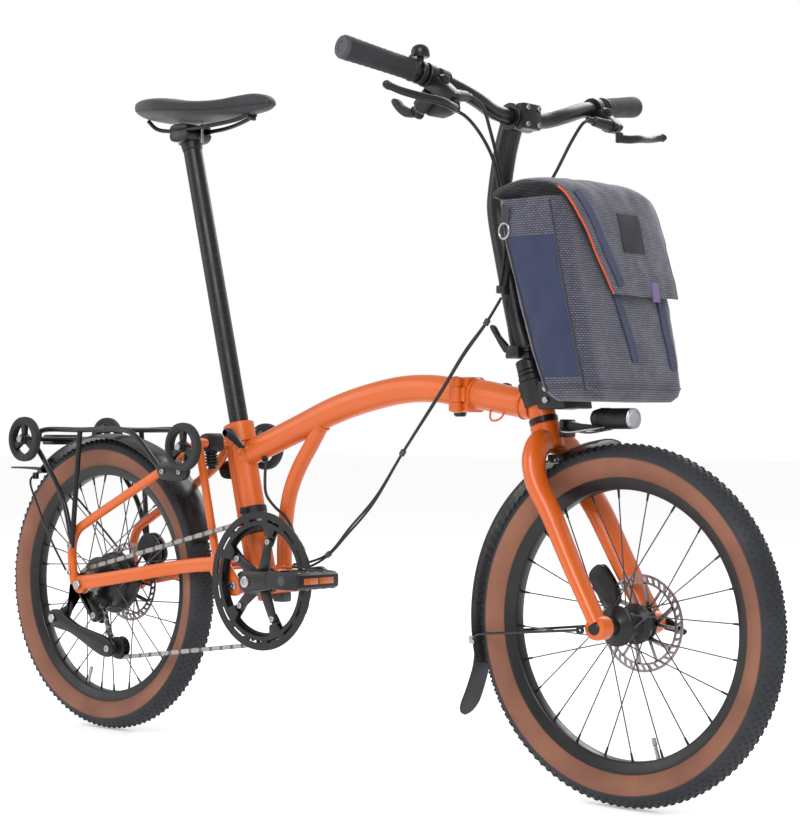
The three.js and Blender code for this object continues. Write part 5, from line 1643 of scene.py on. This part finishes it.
def bag_outline(z, inset, corner=20.0):
    """A rounded rectangle round the bag at a height, as (x, y) points from the back middle."""
    back, front = bag_edges(z)
    x0, x1, half = back + inset, front - inset, BAG_HALF - inset
    spots = []
    for cx, cy, start in (
        (x0 + corner, half - corner, 90), (x0 + corner, -half + corner, 180),
        (x1 - corner, -half + corner, 270),
        (x1 - corner, half - corner, 0),
    ):
        for k in range(9):
            angle = math.radians(start + 90 * k / 8)
            spots.append((cx + corner * math.cos(angle), cy + corner * math.sin(angle)))
    dense = []
    for corner_number, segments in enumerate((30, 14, 30, 14)):
        arc = spots[9 * corner_number : 9 * corner_number + 9]
        start_x, start_y = arc[-1]
        end_x, end_y = spots[(9 * corner_number + 9) % 36]
        dense.extend(arc[:-1])
        dense.extend(
            (start_x + (end_x - start_x) * k / segments, start_y + (end_y - start_y) * k / segments)
            for k in range(segments)
        )
    return dense


def crumple(point, amount, size):
    """A repeatable small push that gives cloth its uneven surface."""
    return noise.noise(point / size) * amount + noise.noise(point / (size * 0.37) + at(3, 1,
        7)) * amount * 0.45


def bag_surface(x, y, z):
    """A point of the bag's plain outline, moved out or in the way that filled cloth lies."""
    back, front = bag_edges(z)
    share = (z - BAG_LOW["z"]) / (BAG_HIGH["z"] - BAG_LOW["z"])
    spot = at(x, y, z)
    out = (spot - at((back + front) / 2, 0, z)).normalized()
    fullness = math.sin(math.pi * share) ** 0.7
    push = 9.0 * fullness - 3 + crumple(spot, 3.0, 46)
    return spot + out * min(push, 4.5 + 6.5 * out.y**2)


def bag_shell():
    rings = []
    for z in [572, 574, 580, 590] + list(range(604, 852, 8)) + [854, 858]:
        rounding = max(0.0, 1 - (z - 572) / 18)
        rings.append([bag_surface(x, y, z) for x, y in bag_outline(z, 4.5 + 11 * rounding**2)])
    for z in [857] + list(range(844, 588, -16)) + [584]:
        rings.append([bag_surface(x, y, z) for x, y in bag_outline(z, 9.5)])
    return skin(rings)


shell_verts, shell_faces = bag_shell()
front_faces = []
side_faces = []
for face in shell_faces:
    centre = sum((shell_verts[k] for k in face), at(0, 0, 0)) / len(face)
    back, front = bag_edges(centre.z)
    depth = (centre.x - back) / (front - back)
    outside = max(abs(centre.y) / BAG_HALF, abs(depth - 0.5) * 2) > 0.955
    pocket = outside and abs(centre.y) > BAG_HALF - 16 and 0.12 < depth < 0.84 and 604 < centre.z < 806
    (side_faces if pocket or centre.x < back + 9 else front_faces).append(face)
bag = piece("bag_shell", "bag", {WEAVE: [(shell_verts, front_faces)],
    NAVY: [(shell_verts, side_faces)]}, ["bag_body"], smooth=60)


def edge_line(inset, y, z_low, z_high, along_front):
    spots = []
    for k in range(15):
        z = z_low + (z_high - z_low) * k / 14
        back, front = bag_edges(z)
        x = front - inset if along_front else back + inset
        spots.append(bag_surface(x, y, z))
    return spots


trim = []
for y in (-BAG_HALF + 5, BAG_HALF - 5):
    trim.append(tube(edge_line(20, y, 584, 850, True), 2.0, 10, 60))
    trim.append(tube(edge_line(18, y, 584, 850, False), 2.0, 10, 60))
piece("bag_side_piping", "bag", {WEBBING: trim})
lower_seam = [bag_surface(x, y, 592) for x, y in bag_outline(592, 4)]
piece("bag_lower_seam", "bag", {WEBBING: [tube(lower_seam[::6], 1.6, 8, 180, closed=True)]})

flap_curve = [
    (399, 861), (400, 870), (410, 879), (430, 886), (462, 889), (496, 886), (522, 873), (535, 851),
    (545, 822), (555, 778),
    (561, 748), (566.5, 722),
]


def flap_left(share):
    """The slanted cut edge of the flap, which leaves the left part of the front open."""
    if share < 0.38:
        return -BAG_HALF + 3
    return -BAG_HALF + 3 + (BAG_HALF - 44) * ((share - 0.38) / 0.62) ** 1.1


FLAP_STEPS = 72
flap_spots = curve_points([at(x, 0, z) for x, z in flap_curve], FLAP_STEPS)


def flap_point(share, y, lift=0.0):
    """A point on the flap's cloth; lift is how far outside the cloth it is."""
    place = share * FLAP_STEPS
    index = min(int(place), FLAP_STEPS - 1)
    spot = flap_spots[index].lerp(flap_spots[index + 1], place - index)
    along = (flap_spots[index + 1] - flap_spots[index]).normalized()
    normal = at(-along.z, 0, along.x)
    edge = abs(y) / BAG_HALF
    drop = 9.0 * edge**7 * (1.0 if share < 0.5 else max(0.0, 1 - (share - 0.5) * 2))
    wave = crumple(at(spot.x, y, spot.z), 2.4, 48) - 1.0
    return spot + normal * (0.4 + min(wave, 0.9) - drop + lift) + at(0, y, 0)


def flap_shape(thickness):
    rings = []
    for i in range(FLAP_STEPS + 1):
        share = i / FLAP_STEPS
        left, right = flap_left(share), BAG_HALF - 3
        ys = [left + (right - left) * k / 40 for k in range(41)]
        top = [flap_point(share, y, thickness / 2) for y in ys]
        under = [flap_point(share, y, -thickness / 2) for y in reversed(ys)]
        rings.append(top + under)
    return skin(rings)


piece("bag_flap_cloth", "bag_flap", {WEAVE: [flap_shape(2.6)]}, ["bag_flap"], smooth=60)
cut_edge = [flap_point(k / 24, flap_left(k / 24), -1.2) for k in range(11, 25)]
hem = [flap_point(0.995, flap_left(1) + (BAG_HALF - 3 - flap_left(1)) * k / 10,
    -0.8) for k in range(11)]
right_edge = [flap_point(k / 24, BAG_HALF - 3, 0) for k in range(25)]
back_edge = [flap_point(k / 24, -BAG_HALF + 3, 0) for k in range(8)]
piece(
    "bag_flap_binding", "bag_flap",
    {PIPING: [tube(cut_edge, 1.7, 10, 90), tube(hem, 1.1, 10, 60)],
     WEBBING: [tube(right_edge, 1.7, 10, 90), tube(back_edge, 1.7, 10, 40)]},
)


def ribbon(path, half, thickness, lean=ACROSS, steps=36):
    """A flat strap along a path; lean is the direction of its width."""
    spots = curve_points(path, steps)
    rings = []
    for i, spot in enumerate(spots):
        along = (spots[min(i + 1, steps)] - spots[max(i - 1, 0)]).normalized()
        side = (lean - along * lean.dot(along)).normalized()
        up = along.cross(side).normalized()
        rings.append([spot + side * half + up * thickness, spot - side * half + up * thickness,
                      spot - side * half - up * thickness, spot + side * half - up * thickness])
    return skin(rings)


def bag_front(y, z, out=1.2):
    _, front = bag_edges(z)
    return bag_surface(front - 4.5, y, z) + at(out, 0, 0)


def front_strap(y_top, y_low, z_top, z_low):
    spots = []
    for k in range(9):
        z = z_top + (z_low - z_top) * k / 8
        spots.append(bag_front(y_top + (y_low - y_top) * k / 8, z, 2.4))
    return ribbon(spots, 8, 0.9)


piece("bag_front_straps", "bag", {NAVY: [front_strap(-30, -6, 745, 628), front_strap(70, 84, 740,
    620)]})
flap_strap = [flap_point(0.5 + 0.46 * k / 10, flap_left(0.5 + 0.46 * k / 10) + 22,
    2.2) for k in range(11)]
patch = [flap_point(0.60 + 0.19 * k / 5, 22, 2.2) for k in range(6)]
tab = [flap_point(0.93, 58, 1.6), flap_point(0.99, 58, 2.0), flap_point(0.99, 58, 2.4) - at(-1, 0, 10)]
piece(
    "bag_flap_details", "bag_flap",
    {NAVY: [ribbon(flap_strap, 8, 0.9)], PATCH: [ribbon(patch, 25, 0.8)],
        PURPLE: [ribbon(tab, 8, 0.8)]},
)
ring_centre = at(bag_edges(812)[0] + 16, -BAG_HALF - 0.5, 812)
ring_points = [ring_centre + at(9 * math.cos(a), 0,
    11 * math.sin(a)) for a in [2 * math.pi * k / 12 for k in range(12)]]
loop_tab = ribbon([ring_centre + at(2, 1, 34), ring_centre + at(1, 0.4, 20),
    ring_centre + at(0, 0, 10)], 7, 0.9, at(1, 0, 0))
piece("bag_ring_and_tab", "bag", {STEEL: [tube(ring_points, 1.6, 10, 48, closed=True)],
    WEBBING: [loop_tab]})
piece("bag_carrier_clip", "bag", {BLACK_PLASTIC: [block((474, -34, 577), (490, 34, 600), 3)]})

# ------------------------------------------------------------------ pieces that cross a joint
def row(x, y, z):
    return ((x + FRAME_SHIFT) * MM, y * MM, z * MM)


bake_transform(long_cables)
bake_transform(chain)

# ------------------------------------------------------------------ floor, light and camera
WHITE = (1.0, 1.0, 1.0, 1.0)
# The world lights the bicycle less than it shows behind it, so that blacks stay black.
WORLD_LIGHT = 0.66
WORLD_SEEN = 1.0
FLOOR_GLOW = 0.36
FLOOR_REACH = 30.0
FLOOR_DROP = 0.0005
floor_finish = Finish("floor", (0.9, 0.9, 0.9, 1.0), 0.6).gloss(0.55, 0.7, 2.0)
set_inputs(floor_finish.shader, {"Emission Color": WHITE, "Emission Strength": FLOOR_GLOW})
floor_mesh = bpy.data.meshes.new("floor")
floor_corners = [(x * FLOOR_REACH, y * FLOOR_REACH, 0) for x, y in ((-1, -1), (1, -1), (1, 1), (-1, 1))]
floor_mesh.from_pydata(floor_corners, [], [(0, 1, 2, 3)])
floor_mesh.materials.append(floor_finish.material)
floor = bpy.data.objects.new("floor", floor_mesh)
bpy.context.scene.collection.objects.link(floor)
floor.location.z = -FLOOR_DROP


def area_light(name, place, target, size, power):
    data = bpy.data.lights.new(name, "AREA")
    data.energy = power
    data.size = size
    lamp = bpy.data.objects.new(name, data)
    lamp.location = place
    lamp.rotation_euler = (Vector(target) - Vector(place)).to_track_quat("-Z", "Y").to_euler()
    bpy.context.scene.collection.objects.link(lamp)


# Watts, from lamps placed in metres.
area_light("key", (2.6, -3.4, 3.6), (0, 0, 0.4), 2.6, 150)
area_light("fill", (-3.2, -2.8, 2.4), (0, 0, 0.5), 3.0, 50)
area_light("rim", (-0.5, 3.4, 3.0), (0, 0, 0.5), 2.4, 70)
world = bpy.data.worlds.new("studio")
world.use_nodes = True
background = world.node_tree.nodes["Background"]
set_inputs(background, {"Color": WHITE})
seen = world.node_tree.nodes.new("ShaderNodeLightPath")
strength = world.node_tree.nodes.new("ShaderNodeMapRange")
set_inputs(strength, {"To Min": WORLD_LIGHT, "To Max": WORLD_SEEN})
world.node_tree.links.new(seen.outputs["Is Camera Ray"], strength.inputs["Value"])
world.node_tree.links.new(strength.outputs["Result"], background.inputs["Strength"])
bpy.context.scene.world = world
bpy.context.scene.view_settings.view_transform = "Standard"

CAMERA_AZIMUTH = math.radians(41.849)
CAMERA_ELEVATION = math.radians(-0.533)
CAMERA_ROLL = math.radians(0.296)
CAMERA_PLACE = (2.25495, -2.36162, 0.52888)
LENS_MM = 89.25
SENSOR_MM = 36.0
back = at(math.sin(CAMERA_AZIMUTH) * math.cos(CAMERA_ELEVATION),
    -math.cos(CAMERA_AZIMUTH) * math.cos(CAMERA_ELEVATION),
          math.sin(CAMERA_ELEVATION))
right = at(math.cos(CAMERA_AZIMUTH), math.sin(CAMERA_AZIMUTH), 0)
up = back.cross(right)
rolled_right = right * math.cos(CAMERA_ROLL) + up * math.sin(CAMERA_ROLL)
rolled_up = up * math.cos(CAMERA_ROLL) - right * math.sin(CAMERA_ROLL)
camera_data = bpy.data.cameras.new("camera")
camera_data.lens = LENS_MM
camera_data.sensor_width = SENSOR_MM
camera = bpy.data.objects.new("camera", camera_data)
bpy.context.scene.collection.objects.link(camera)
turn = Matrix((rolled_right, rolled_up, back)).transposed().to_4x4()
camera.matrix_world = Matrix.Translation(CAMERA_PLACE) @ turn
bpy.context.scene.camera = camera
